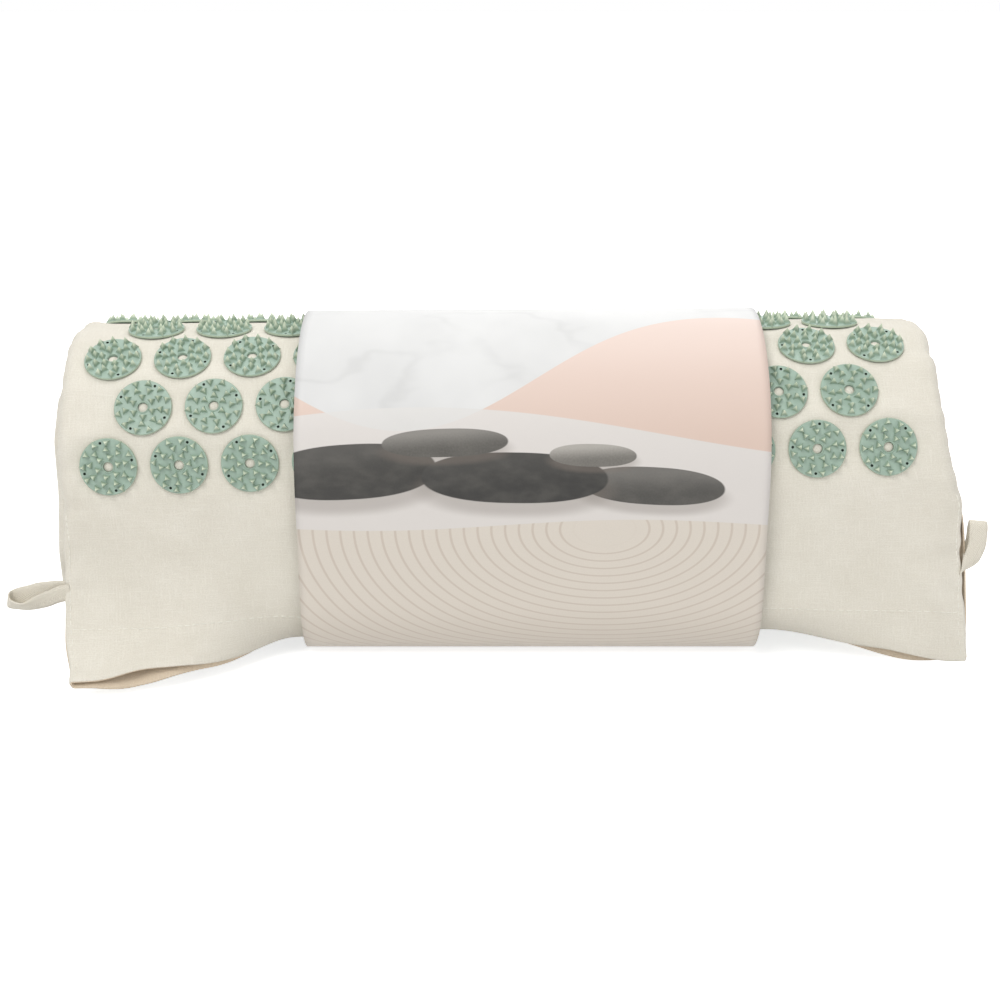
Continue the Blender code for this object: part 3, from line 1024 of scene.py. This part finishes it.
@dataclass
class DiscField(Part):
    """Rows of moulded discs, each on the flat of its own row."""

    radius: float = 13.4 * MM
    plate: float = 1.2 * MM
    rim: float = 0.28 * MM
    bore: float = 2.35 * MM
    collar: float = 0.55 * MM
    swell: float = 0.7 * MM
    spike: float = 3.9 * MM
    spike_foot: float = 2.25 * MM
    recess: float = 0.68 * MM
    recess_start: float = 15
    rings: tuple[tuple[int, float, float], ...] = ((12, 0.86, 0), (9, 0.62, 13), (6, 0.365, 17))
    shown_rows: int = 4
    row_turn: float = 137.5
    column_turn: float = 52
    fin_ratio: float = 0.47

    def seat(self, row: int, column: int, count: int) -> Matrix:
        """Place of one disc.

        Args:
            row: Row, from the mouth.
            column: Column, from the left.
            count: Discs in the row.

        Returns:
            Its matrix, with Z out of the mat.
        """
        mat = self.mat
        u = (column - 0.5 * (count - 1)) * mat.column_pitch + mat.grid_offset
        v = (row + np.array([-0.5, 0.5])) * mat.row_pitch
        middle, left, right = mat.point(u + self.radius * np.array([[0], [-1], [1]]), v, 0)
        across = Vector(right.sum(0) - left.sum(0)).normalized()
        out = across.cross(Vector(middle[1] - middle[0])).normalized()
        spot = Vector(middle.mean(0)) + out * mat.clearance
        turn = math.radians(row * self.row_turn + column * self.column_turn)
        return seated(across, out, spot) @ Matrix.Rotation(turn, 4, "Z")

    def turned(self, profile: list[tuple[float, float]], sides: int) -> Blank:
        """Shapes a closed turned form.

        Args:
            profile: Radius and height of each ring, from the bottom up.
            sides: Sides of each ring.

        Returns:
            The form.
        """
        angle = 2 * np.pi * np.arange(sides) / sides
        reach, height = np.array(profile).T[..., None]
        return tube(np.stack([reach * np.cos(angle), reach * np.sin(angle),
                              height + 0 * angle], -1))

    def spikes(self, levels: tuple[tuple[float, float], ...]) -> Blank:
        """All spikes of a disc, each with three fins, turned this way and that.

        Args:
            levels: Share of a spike's height and of its foot at each ring.

        Returns:
            The spikes.
        """
        around = np.pi * np.arange(6) / 3
        reach = self.spike_foot * np.where(np.arange(6) % 2, self.fin_ratio, 1)
        star = np.stack([reach * np.cos(around), reach * np.sin(around), 0 * around], -1)
        body = tube(np.array([star * width + (0, 0, self.plate + height * self.spike)
                              for height, width in levels]))
        tip = len(body.points)
        top = [(tip - 6 + side, tip - 6 + (side + 1) % 6, tip) for side in range(6)]
        spike = Blank(np.vstack([body.points, (0, 0, self.plate + self.spike)]),
                      [body.faces[0], *body.faces[2:], *top])
        places = []
        for count, share, offset in self.rings:
            for index in range(count):
                angle = math.radians(offset) + 2 * math.pi * index / count
                places.append(Matrix.Rotation(angle, 4, "Z")
                              @ Matrix.Translation((share * self.radius, 0, 0))
                              @ Matrix.Rotation(math.pi * (index % 2), 4, "Z"))
        return joined([spike.moved(place) for place in places])

    def fine(self) -> Blank:
        """Disc with its bore, four recesses and finned spikes, cut and joined as one.

        Returns:
            The disc, with a low dome of linen that swells up into its bore.
        """
        thick, rim, bore, radius = self.plate, self.rim, self.bore, self.radius
        collar = bore + self.collar
        recess = self.turned([(self.recess, 0.15 * thick), (self.recess, 2 * thick)], 10)
        start = Vector((self.rings[0][1] * radius, 0, 0))
        turns = [math.radians(self.recess_start + 90 * quarter) for quarter in range(4)]
        corners = [Matrix.Translation(Matrix.Rotation(turn, 3, "Z") @ start) for turn in turns]
        blanks = {
            "plate": self.turned([(radius - rim, 0), (radius, rim), (radius, thick - rim),
                                  (radius - rim, thick), (collar + rim, thick),
                                  (collar, thick + rim), (bore, thick + 1.4 * rim)], 48),
            "bore": self.turned([(bore + rim, -rim), (bore, rim), (bore, thick),
                                 (bore + 0.6 * rim, thick + 2 * rim)], 24),
            "recesses": joined([recess.moved(corner) for corner in corners]),
            "spikes": self.spikes(((-0.1, 1.06), (0, 1), (0.3, 0.66), (0.68, 0.31))),
        }
        forms = [bpy.data.objects.new(name, self.shop.mesh(name, blank))
                 for name, blank in blanks.items()]
        for form in forms:
            bpy.context.scene.collection.objects.link(form)
        for form, operation in zip(forms[1:], ("DIFFERENCE", "DIFFERENCE", "UNION")):
            cut = forms[0].modifiers.new(form.name, "BOOLEAN")
            cut.object, cut.operation, cut.solver = form, operation, "EXACT"
            cut.use_self = operation == "UNION"
        graph = bpy.context.evaluated_depsgraph_get()
        shape = bpy.data.meshes.new_from_object(forms[0].evaluated_get(graph))
        for form in forms:
            bpy.data.objects.remove(form)
        disc = self.marked(np.array([vertex.co for vertex in shape.vertices]),
                           [tuple(polygon.vertices) for polygon in shape.polygons])
        disc.slots = [self.slot_at(polygon.center) for polygon in shape.polygons]
        inside = bore - 0.02 * MM
        lift = 0.1 * np.pi * np.arange(5)
        crown = list(zip(inside * np.cos(lift), self.swell * np.sin(lift)))
        dome = self.turned([(inside, -0.3 * MM), *crown], 24)
        dome = self.marked(dome.points, dome.faces)
        dome.slots = [2] * len(dome.faces)
        disc = joined([disc, dome])
        disc.marks["flat"] = disc.points * (1, 1, 0)
        return disc

    def slot_at(self, centre: Vector) -> int:
        """Finds whether a face lies in a recess.

        Args:
            centre: Middle of the face.

        Returns:
            1 on the floor or wall of a recess, which takes the painted shade, and 0 elsewhere.
        """
        angle = math.degrees(math.atan2(centre.y, centre.x)) - self.recess_start
        off = math.radians((angle + 45) % 90 - 45)
        reach = math.hypot(centre.x, centre.y)
        gap = math.hypot(reach * math.cos(off) - self.rings[0][1] * self.radius,
                         reach * math.sin(off))
        return int(gap < 1.02 * self.recess and 0.05 * self.plate < centre.z < 0.9 * self.plate)

    def marked(self, points: Array, faces: list[tuple[int, ...]]) -> Blank:
        """Marks the rise of a disc's points up a spike, and paints a highlight on the plate's
        rim.

        Args:
            points: Points of the disc.
            faces: Its faces.

        Returns:
            The marked mesh.
        """
        rise = np.clip((points[:, 2] - self.plate) / self.spike, 0, 1)
        # Painted highlight: the rim's points take a rise of 0.4, which paints them a paler
        # green
        is_highlight_rim = np.hypot(points[:, 0], points[:, 1]) > self.radius - 0.3 * self.rim
        return Blank(points, faces, [], {"rise": np.where(is_highlight_rim, 0.4, rise)})

    def light(self) -> Blank:
        """Shapes a disc with plainer spikes, for the places that hardly show.

        Returns:
            The disc.
        """
        plate = self.turned([(self.radius, 0), (self.radius, self.plate)], 16)
        disc = joined([plate, self.spikes(((-0.08, 1),))])
        return self.marked(disc.points, disc.faces)

    def build(self) -> None:
        """Makes a piece of each disc that shows, and one or two of the others in each row."""
        mat, shop, name = self.mat, self.shop, "sage_plastic"
        # The second finish is the painted shade of the recesses
        finishes = [name, "disc_recess_shade", "linen"]
        blanks = {"ends": self.fine(), "middle": self.light()}
        shared = shop.mesh("spiked_disc", blanks["ends"], False)
        for row in range(mat.rows):
            count = mat.long_row - row % 2
            is_outside = row < int(mat.outer_turn / mat.row_pitch) + 1
            groups: dict[str, list[Matrix]] = {"ends": [], "middle": []}
            for column in range(count):
                seat = self.seat(row, column, count)
                x = seat.translation.x - mat.origin[0]
                if row < self.shown_rows and not mat.band_left <= x <= mat.band_right:
                    node = f"disc_row{row + 1:02d}_col{column + 1:02d}"
                    shop.place(f"spiked_{node}", shared, finishes, Body.MAT, name, node, seat)
                    continue
                is_near = not mat.band_left + self.radius <= x <= mat.band_right - self.radius
                groups["ends" if is_outside and is_near else "middle"].append(seat)
            for kind, seats in groups.items():
                if seats:
                    title = f"disc_row{row + 1:02d}_{kind}"
                    blank = joined([blanks[kind].moved(seat) for seat in seats])
                    shop.place(title, shop.mesh(title, blank, False), finishes, Body.MAT, name)


@dataclass
class CoverPanel(Part):
    """One cloth layer of the cover, from side seam to side seam and mouth to closed end."""

    face: Face
    disc_radius: float
    cloth: float = 0.8 * MM
    hem_cloth: float = 1.5 * MM
    hem_width: float = 21 * MM
    hem_line: float = 19.6 * MM
    seam_line: float = 2.7 * MM
    rounding: float = 6.5 * MM
    fold_height: float = 2.1 * MM
    fold_ends: tuple[tuple[float, float], ...] = ((0.190, -0.072), (0.208, -0.095))
    row_steps: int = 10
    tail_rows: int = 36
    middle_columns: int = 151
    edge_columns: int = 6

    def __post_init__(self) -> None:
        """Lays the panel on the wound mat, with its folds."""
        mat = self.mat
        first, mouth = -0.5 * mat.row_pitch, -mat.tail_length
        tail = np.linspace(mouth, first, self.tail_rows, endpoint=False)
        body = first + np.arange(self.row_steps * mat.rows + 1) * mat.row_pitch / self.row_steps
        lip = [mouth + 0.35 * MM, mouth + 1 * MM]
        rest = np.linspace(body[-1], mat.end, 5)[1:]
        v = np.sort(np.concatenate([tail, lip, body, rest]))[:, None]
        rounding = self.rounding * mat.thickness_at(0, v) / mat.thickness
        self.u, share = section(mat.half_width - rounding, rounding, self.middle_columns,
                                self.edge_columns)
        self.v = v + 0 * self.u
        side = 1 if self.face is Face.TOP else -1
        points = eased(eased(mat.skin(self.u, self.v, share, 0, self.face)))
        self.points = points + side * grid_normals(points) * self.relief(share)[..., None]
        self.normals = side * grid_normals(self.points)

    def disc_gap(self) -> Array:
        """Finds how far each point of the grid is from the nearest disc.

        Returns:
            Distances to the disc's centre.
        """
        mat, gaps = self.mat, []
        row = np.clip(np.round(self.v / mat.row_pitch), 0, mat.rows - 1)
        for step in (-1, 0, 1):
            near = np.clip(row + step, 0, mat.rows - 1)
            count = mat.long_row - near % 2
            start = mat.grid_offset - 0.5 * (count - 1) * mat.column_pitch
            column = np.clip(np.round((self.u - start) / mat.column_pitch), 0, count - 1)
            gaps.append(np.hypot(self.u - start - column * mat.column_pitch,
                                 self.v - near * mat.row_pitch))
        return np.minimum.reduce(gaps)

    def corner_fold(self) -> Array:
        """Shapes a soft slanting fold at the right corner of the mouth.

        Returns:
            Shares of its height.
        """
        start, end = np.array(self.fold_ends)
        reach = math.dist(start, end)
        along = (end - start) / reach
        right, up = self.u - start[0], self.v - start[1]
        run = right * along[0] + up * along[1]
        ends = smooth(run, -0.5 * reach, 0.2 * reach) * smooth(run, 1.6 * reach, 0.9 * reach)
        return bump(right * along[1] - up * along[0], 0, 10 * MM) * ends

    def relief(self, share: Array) -> Array:
        """Puff between the discs, folds of the tail, puckers of the seams and the hem's step.

        Args:
            share: Share of the way in to the side seam.

        Returns:
            Heights over the plain surface.
        """
        mat, u, v = self.mat, self.u, self.v
        tail = smooth(v, -0.5 * mat.row_pitch, -2.2 * mat.foam_margin)
        if self.face is Face.BACK:
            return 0.35 * MM * ripples(u, v, 46 * MM, 5, 1.6) * tail
        from_seam, mouth = mat.half_width - np.abs(u), v + mat.tail_length
        free = smooth(self.disc_gap(), self.disc_radius + 0.6 * MM, 19 * MM)
        free = free * smooth(v, mat.outer_turn + 20 * MM, mat.outer_turn - 20 * MM)
        edge = smooth(from_seam, 26 * MM, 0) * (1 - 0.5 * share)
        right = smooth(u / mat.half_width, 0.62, 0.95)
        puff = (0.55 * (1 - tail) + 0.4 * ripples(u, v, 38 * MM, 2)
                + 0.75 * ripples(0.25 * u, v, 11 * MM, 8) * edge)
        folds = (1.1 * ripples(u, v, 62 * MM, 3, 1.9)
                 + 0.55 * ripples(u, v, 25 * MM, 14, 2.2) * right
                 - 0.3 * bump(from_seam, self.seam_line, 1.5 * MM))
        hem = (0.38 * smooth(mouth, self.hem_width + 0.6 * MM, self.hem_width - 0.8 * MM)
               - 0.3 * bump(mouth, self.hem_line, 1.4 * MM) - 0.4 * smooth(mouth, 0.9 * MM, 0))
        return MM * (puff * free + folds * tail + hem) + self.fold_height * self.corner_fold()

    def spot(self, u: float, v: float) -> tuple[Vector, Vector]:
        """Finds one place of the laid panel.

        Args:
            u: Place across.
            v: Place along.

        Returns:
            The point and the normal there.
        """
        rows = self.v[:, 0]
        row = int(np.clip(np.searchsorted(rows, v) - 1, 0, len(rows) - 2))
        part = (v - rows[row]) / (rows[row + 1] - rows[row])
        found = []
        for grid in (self.points, self.normals):
            ends = [np.array([np.interp(u, self.u[index], grid[index, :, axis])
                              for axis in range(3)]) for index in (row, row + 1)]
            found.append(Vector(ends[0] + (ends[1] - ends[0]) * part))
        return found[0], found[1].normalized()

    def build(self) -> None:
        """Makes the panel."""
        mat = self.mat
        mouth = self.v + mat.tail_length
        wall = self.cloth + (self.hem_cloth - self.cloth) * smooth(
            mouth, self.hem_width + 0.5 * MM, self.hem_width - 0.5 * MM)
        wall = wall - 0.35 * self.hem_cloth * smooth(mouth, 0.9 * MM, 0)
        inner = self.points - self.normals * wall[..., None]
        is_top = self.face is Face.TOP
        name, finish = ("cover_top", "linen") if is_top else ("cover_back", "lining")
        blank = sheet(self.points, inner, self.u, self.v, 1, not is_top)
        # The inner side and the rims take the inside finish, painted shade of the linen
        made = self.shop.place(name, self.shop.mesh(name, blank), [finish, "inside"], Body.MAT,
                               finish, f"{name}_panel")


@dataclass
class Stitching:
    """Rows of thread stitches that lie on a cover panel."""

    panel: CoverPanel
    length: float = 2.7 * MM
    gap: float = 0.9 * MM
    thread: float = 0.26 * MM
    unevenness: float = 0.12 * MM

    def stitch(self) -> Blank:
        """Shapes one stitch along X, its ends dipping into the cloth.

        Returns:
            The stitch.
        """
        share = np.linspace(0, 1, 7)[:, None]
        angle = np.pi * np.arange(6) / 3
        swell = np.sin(np.pi * (0.12 + 0.76 * share)) ** 0.5
        return tube(np.stack([self.length * (share - 0.5) + 0 * angle,
                              self.thread * swell * np.cos(angle),
                              self.thread * (swell * (np.sin(angle) + 1.5) - 1.1)], -1))

    def run(self, name: str, start: tuple[float, float], end: tuple[float, float],
            seed: int) -> None:
        """Sews one straight run on the flat cloth.

        Args:
            name: Name of the piece.
            start: Place across and along where it starts.
            end: Place where it ends.
            seed: Picks the small unevenness of the stitches.
        """
        draw = np.random.default_rng(seed)
        span = math.dist(start, end)
        count = int(span / (self.length + self.gap))
        stitches = []
        for index in range(count):
            spots = []
            for offset in (-0.5, 0.5):
                at = (index + 0.5) / count + offset * self.length / span
                wander = draw.uniform(-self.unevenness, self.unevenness)
                spots.append(self.panel.spot(*[
                    low + (high - low) * at + wander for low, high in zip(start, end)]))
            along = (spots[1][0] - spots[0][0]).normalized()
            out = (spots[0][1] + spots[1][1]).normalized()
            seat = seated(along, out, (spots[0][0] + spots[1][0]) * 0.5)
            stitches.append(self.stitch().moved(seat))
        shop = self.panel.shop
        shop.place(name, shop.mesh(name, joined(stitches)), ["thread"], Body.MAT, "linen")

    def build(self) -> None:
        """Sews the hem and both sides of the mouth."""
        mat, side = self.panel.mat, self.panel.face.value
        hem = -mat.tail_length + self.panel.hem_line
        edge = mat.half_width - self.panel.seam_line
        mouth, top = -mat.tail_length + 2 * MM, -1.1 * mat.foam_margin
        self.run(f"hem_stitches_{side}", (-edge, hem), (edge, hem), 21)
        self.run(f"left_stitches_{side}", (-edge, mouth), (-edge, top), 22)
        self.run(f"right_stitches_{side}", (edge, mouth), (edge, top), 23)


@dataclass
class FoamSlab(Part):
    """Foam inside the cover, wound with it."""

    wall: float = 1.5 * MM
    edge: float = 3 * MM

    def build(self) -> None:
        """Makes the slab."""
        mat = self.mat
        v = ((np.arange(5 * mat.rows + 1) / 5 - 0.5) * mat.row_pitch)[:, None]
        half = mat.half_width - self.wall - self.edge + 0 * v
        u, share = section(half, self.edge, 52, 4)
        layers = [eased(mat.skin(u, v, 0.82 * share, self.wall, face)) for face in Face]
        made = self.shop.place("foam_slab", self.shop.mesh("foam_slab", sheet(*layers, u, v)),
                               ["foam"], Body.MAT, "foam", "foam_core")


@dataclass
class ClosureTape(Part):
    """Hook and loop tape sewn inside the mouth."""

    half_length: float = 78 * MM
    width: float = 16 * MM
    from_mouth: float = 3 * MM
    cloth: float = 1.75 * MM
    thickness: float = 0.5 * MM
    taper: float = 0.00009

    def build(self, face: Face) -> None:
        """Makes the half on one side of the mouth.

        Args:
            face: The side.
        """
        start = -self.mat.tail_length + self.from_mouth
        v = np.linspace(start, start + self.width, 13)[:, None]
        u = np.linspace(-self.half_length, self.half_length, 90)
        steps = np.arange(len(v))[:, None] + np.arange(len(u))
        far = self.cloth + self.thickness * (1 + self.taper * steps)
        grids = [self.mat.skin(u, v, 0, depth, face) for depth in (self.cloth, far)]
        blank = sheet(*grids, u, v, is_flipped=face is Face.BACK)
        name = "hook_tape" if face is Face.TOP else "loop_tape"
        self.shop.place(f"closure_{name}", self.shop.mesh(name, blank), [name], Body.MAT,
                        "closure_tape", name)


@dataclass
class CardSleeve(Part):
    """Printed card belly band, glued to itself behind the roll."""

    thickness: float = 0.4 * MM
    overlap: float = 18 * MM
    glue_height: float = 52 * MM
    tip_room: float = 0.3 * MM
    back_room: float = 0.55 * MM
    outer_ring: float = 0.86 * 13.4 * MM

    def outline(self) -> tuple[Array, Array]:
        """Outline of the card's inside, from the glued end over the top and round.

        Returns:
            Points across and up, and their lengths from the front end of the top arc.
        """
        mat = self.mat
        facet = mat.radius * math.cos(math.asin(0.5 * mat.row_pitch / mat.radius))
        half = math.hypot(facet + mat.clearance + mat.disc_height, self.outer_ring)
        half, low, axis = half + self.tip_room, self.thickness, mat.axis_height
        corner = mat.corner + half - mat.radius
        run, foot = half - corner, low + corner
        arc, bend = np.linspace(0, np.pi, 73), np.linspace(0, 0.5 * np.pi, 19)
        back = np.linspace(self.glue_height, axis, 9)[:-1]
        parts = [(half, back), (half * np.cos(arc), axis + half * np.sin(arc)),
                 (-half, np.linspace(axis, foot, 14)[1:-1]),
                 (-run - corner * np.cos(bend), foot - corner * np.sin(bend)),
                 (np.linspace(-run, run, 16)[1:-1], low),
                 (run + corner * np.sin(bend), foot - corner * np.cos(bend)),
                 (half, np.linspace(foot, self.glue_height + self.overlap, 12)[1:])]
        track = np.concatenate([np.stack(np.broadcast_arrays(*part), -1) for part in parts])
        track[:, 0] += self.back_room * smooth(track[:, 0], 0.9 * half, half)
        lengths = running_length(track)
        return track, lengths[len(back) + len(arc) - 1] - lengths

    def build(self) -> None:
        """Makes the sleeve."""
        mat = self.mat
        track, height = self.outline()
        along = unit(np.gradient(track, axis=0))
        out = np.stack([along[:, 1], -along[:, 0]], -1)
        lap = smooth(height, height[-1] + self.overlap + 16 * MM, height[-1] + self.overlap)
        track = track + out * (lap * (self.thickness + 0.06 * MM))[:, None]
        x = np.linspace(mat.band_left, mat.band_right, 56)
        rise = 1 + mat.taller_right * x / mat.half_width
        grids = []
        for offset in (self.thickness, 0):
            across, up = np.hsplit(track + out * offset, 2)
            grids.append(np.stack(np.broadcast_arrays(x, across, up * rise), -1) + mat.origin)
        blank = sheet(*grids, x, height[:, None], 1, True)
        self.shop.place("card_sleeve", self.shop.mesh("card_sleeve", blank),
                        ["card_print", "bare_card"], Body.BAND, "card", "belly_band")


@dataclass
class HangLoop:
    """Loop of woven tape caught in the side seam of the tail; its path is in millimetres."""

    shop: Workshop
    side: str
    body: Body
    bend: float
    path: tuple[Triple, ...]
    facing: tuple[Triple, ...]
    width: float = 8.5 * MM
    thickness: float = 0.9 * MM
    steps: int = 72
    # Half of the tape's section; the other half is opposite
    section: tuple[tuple[float, float], ...] = (
        (-1, 0), (-0.97, 0.75), (-0.6, 1), (0, 0.94), (0.6, 1), (0.97, 0.75))

    def spline(self, knots: Array) -> Array:
        """Smooth curve through knots.

        Args:
            knots: Points to pass through.

        Returns:
            Points of the curve.
        """
        padded = np.concatenate([2 * knots[:1] - knots[1:2], knots,
                                 2 * knots[-1:] - knots[-2:-1]])
        places = np.linspace(0, len(knots) - 1, self.steps)
        start = np.minimum(places.astype(int), len(knots) - 2)
        t = (places - start)[:, None]
        a, b, c, d = [padded[start + step] for step in range(4)]
        return 0.5 * (2 * b + (c - a) * t + (2 * a - 5 * b + 4 * c - d) * t ** 2
                      + (3 * b - a - 3 * c + d) * t ** 3)

    def build(self, root: Vector) -> None:
        """Makes the loop.

        Args:
            root: Middle of its seam.
        """
        line = self.spline(np.array(self.path) * MM) + np.array(root)
        along = unit(np.gradient(line, axis=0))
        wide = self.spline(np.array(self.facing))
        wide = unit(wide - along * np.sum(wide * along, axis=1, keepdims=True))
        out = np.cross(along, wide)
        length = running_length(line)
        fray = 1 + 0.02 * ripples(length, 0 * length, 7 * MM, 31)
        half = np.array(self.section)
        ring = np.concatenate([half, -half]) * (0.5 * self.width, 0.5 * self.thickness)
        blank = tube(line[:, None] + wide[:, None] * ring[:, :1] * fray[:, None, None]
                     + out[:, None] * ring[:, 1:], True)
        flat = np.broadcast_arrays(ring[:, 0], length[:, None], 0)
        blank.marks["flat"] = np.stack(flat, -1).reshape(-1, 3)
        name = f"hang_tape_{self.side}"
        made = self.shop.place(name, self.shop.mesh(name, blank), ["webbing"], None, "webbing",
                               f"hang_loop_{self.side}")
        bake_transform(made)


@dataclass
class Studio:
    """Camera, lamps, white surround and floor."""

    eye: Triple = (0.0011, -0.7378, 0.3376)
    elevation: float = math.radians(20.06)
    lens: float = 56.7
    sensor: float = 36
    aim: Triple = (0, 0, 0.07)
    world_light: float = 0.46
    floor_glow: float = 0.72
    floor_reach: float = 6
    # Lamps: name, place, side, watts, tint
    lamps: tuple[tuple[str, Triple, float, float, Triple], ...] = (
        ("key", (-0.75, -1.05, 1.55), 1, 16.5, (1, 0.995, 0.985)),
        ("fill", (1.1, -1.2, 0.8), 1.2, 5.6, (1, 1, 1)),
        ("top", (0.1, 0.35, 1.7), 1.2, 10.5, (1, 1, 1)),
        ("back", (0.4, 1.4, 0.9), 1.2, 6, (1, 1, 1)))

    def put(self, data: bpy.types.ID, place: Triple) -> Object:
        """Puts a camera, a lamp or the floor into the scene.

        Args:
            data: What it is.
            place: Where it goes.

        Returns:
            The object.
        """
        made = bpy.data.objects.new(data.name, data)
        made.location = place
        bpy.context.scene.collection.objects.link(made)
        return made

    def camera(self) -> None:
        """Sets up the camera at the viewing angle."""
        data = bpy.data.cameras.new("camera")
        data.lens, data.clip_start = self.lens, 0.01
        data.sensor_width = data.sensor_height = self.sensor
        made = self.put(data, self.eye)
        made.rotation_euler = (0.5 * math.pi - self.elevation, 0, 0)
        bpy.context.scene.camera = made

    def surround(self) -> None:
        """Makes a soft world that reads as white to the camera and in reflections."""
        world = bpy.data.worlds.new("surround")
        bpy.context.scene.world = world
        world.use_nodes = True
        nodes = Nodes(world.node_tree)
        light = nodes.tree.nodes["Background"]
        nodes.put(colour(250, 250, 250), light.inputs[0])
        nodes.put(self.world_light, light.inputs[1])
        white = nodes.add("Background", {0: (1, 1, 1, 1), 1: 1})
        nodes.seen(light.outputs[0], white.outputs[0],
                   nodes.tree.nodes["World Output"].inputs[0])

    def floor(self) -> None:
        """Lays a white floor that keeps the roll's shadow."""
        mesh = bpy.data.meshes.new("floor")
        corners = [(self.floor_reach * x, self.floor_reach * y, 0)
                   for x, y in ((-1, -1), (1, -1), (1, 1), (-1, 1))]
        mesh.from_pydata(corners, [], [(0, 1, 2, 3)])
        paint = Paint("floor")
        paint.set(Base_Color=colour(243, 243, 243), Roughness=0.9, Specular_IOR_Level=0.1)
        dark, glow = [paint.add("Emission", {1: strength}).outputs[0]
                      for strength in (0, self.floor_glow)]
        both = paint.add("AddShader", {0: paint.shader.outputs[0]})
        paint.seen(dark, glow, both.inputs[1])
        paint.put(both.outputs[0], paint.tree.nodes["Material Output"].inputs[0])
        mesh.materials.append(paint.material)
        self.put(mesh, (0, 0, -0.2 * MM))

    def build(self) -> None:
        """Sets up the whole studio."""
        self.camera()
        self.surround()
        self.floor()
        for name, place, size, power, tint in self.lamps:
            data = bpy.data.lights.new(name, "AREA")
            data.size, data.energy, data.color = size, power, tint
            aim = Vector(self.aim) - Vector(place)
            self.put(data, place).rotation_euler = aim.to_track_quat("-Z", "Y").to_euler()
        bpy.context.scene.view_settings.view_transform = "Standard"


def hang_loops(shop: Workshop) -> None:
    """Makes both loops at their seams.

    Args:
        shop: Workshop that finishes them.
    """
    roots = {joint["name"]: Vector(joint["pos_m"])
             for joint in frame["record"]["behaviour"]["joints"] if "pos_m" in joint}
    HangLoop(shop, "left", Body.LEFT_LOOP, -20 * MM, (
        (0.8, 1.2, 5.9), (-6.0, 1.8, 5.6), (-14.0, 2.6, 4.4), (-21.0, 2.8, 2.4),
        (-26.6, 2.0, 1.2), (-29.2, 0.0, 0.9), (-26.6, -2.2, -0.5), (-20.4, -2.6, -1.4),
        (-13.3, -1.8, 0.8), (-3.5, -0.4, 4.2), (0.8, 0.0, 4.8)), (
        (0.0, 0.15, 0.99), (0.0, 0.15, 0.99), (0.0, 0.2, 0.98), (0.0, 0.3, 0.95),
        (0.15, 0.1, 0.98), (0.25, -0.3, 0.92), (0.1, -0.62, 0.76), (0.0, -0.72, 0.69),
        (0.0, -0.35, 0.94), (0.0, -0.1, 1.0), (0.0, 0.0, 1.0)),
    ).build(roots["hang_loop_left_flop"])
    HangLoop(shop, "right", Body.RIGHT_LOOP, 14 * MM, (
        (6.0, 0.6, -5.0), (8.0, -0.4, -2.6), (9.8, -1.4, 3.0), (11.4, -1.8, 9.8),
        (11.5, -1.0, 18.0), (11.4, 0.8, 20.4), (11.5, 2.6, 18.0), (11.4, 3.4, 10.4),
        (9.8, 2.8, 4.4), (6.2, 1.4, -2.8)), (
        (0.2, 0.97, -0.1), (0.65, 0.7, -0.3), (0.97, 0.1, -0.25), (1.0, 0.0, -0.15),
        (1.0, 0.0, -0.1), (1.0, 0.0, -0.1), (1.0, 0.0, -0.1), (1.0, 0.05, -0.15),
        (0.9, 0.4, -0.25), (0.2, 0.97, -0.1)),
    ).build(roots["hang_loop_right_flop"])


def main() -> None:
    """Builds the dressed mat, piece by piece, and the studio round it."""
    shop, winding = Workshop(), Winding()
    discs = DiscField(shop, winding)
    FoamSlab(shop, winding).build()
    for face in Face:
        panel = CoverPanel(shop, winding, face, discs.radius)
        panel.build()
        Stitching(panel).build()
        ClosureTape(shop, winding).build(face)
    discs.build()
    CardSleeve(shop, winding).build()
    hang_loops(shop)
    Studio().build()


if __name__ == "__main__":
    logging.basicConfig(level=logging.INFO, format="%(name)s: %(message)s")
    main()
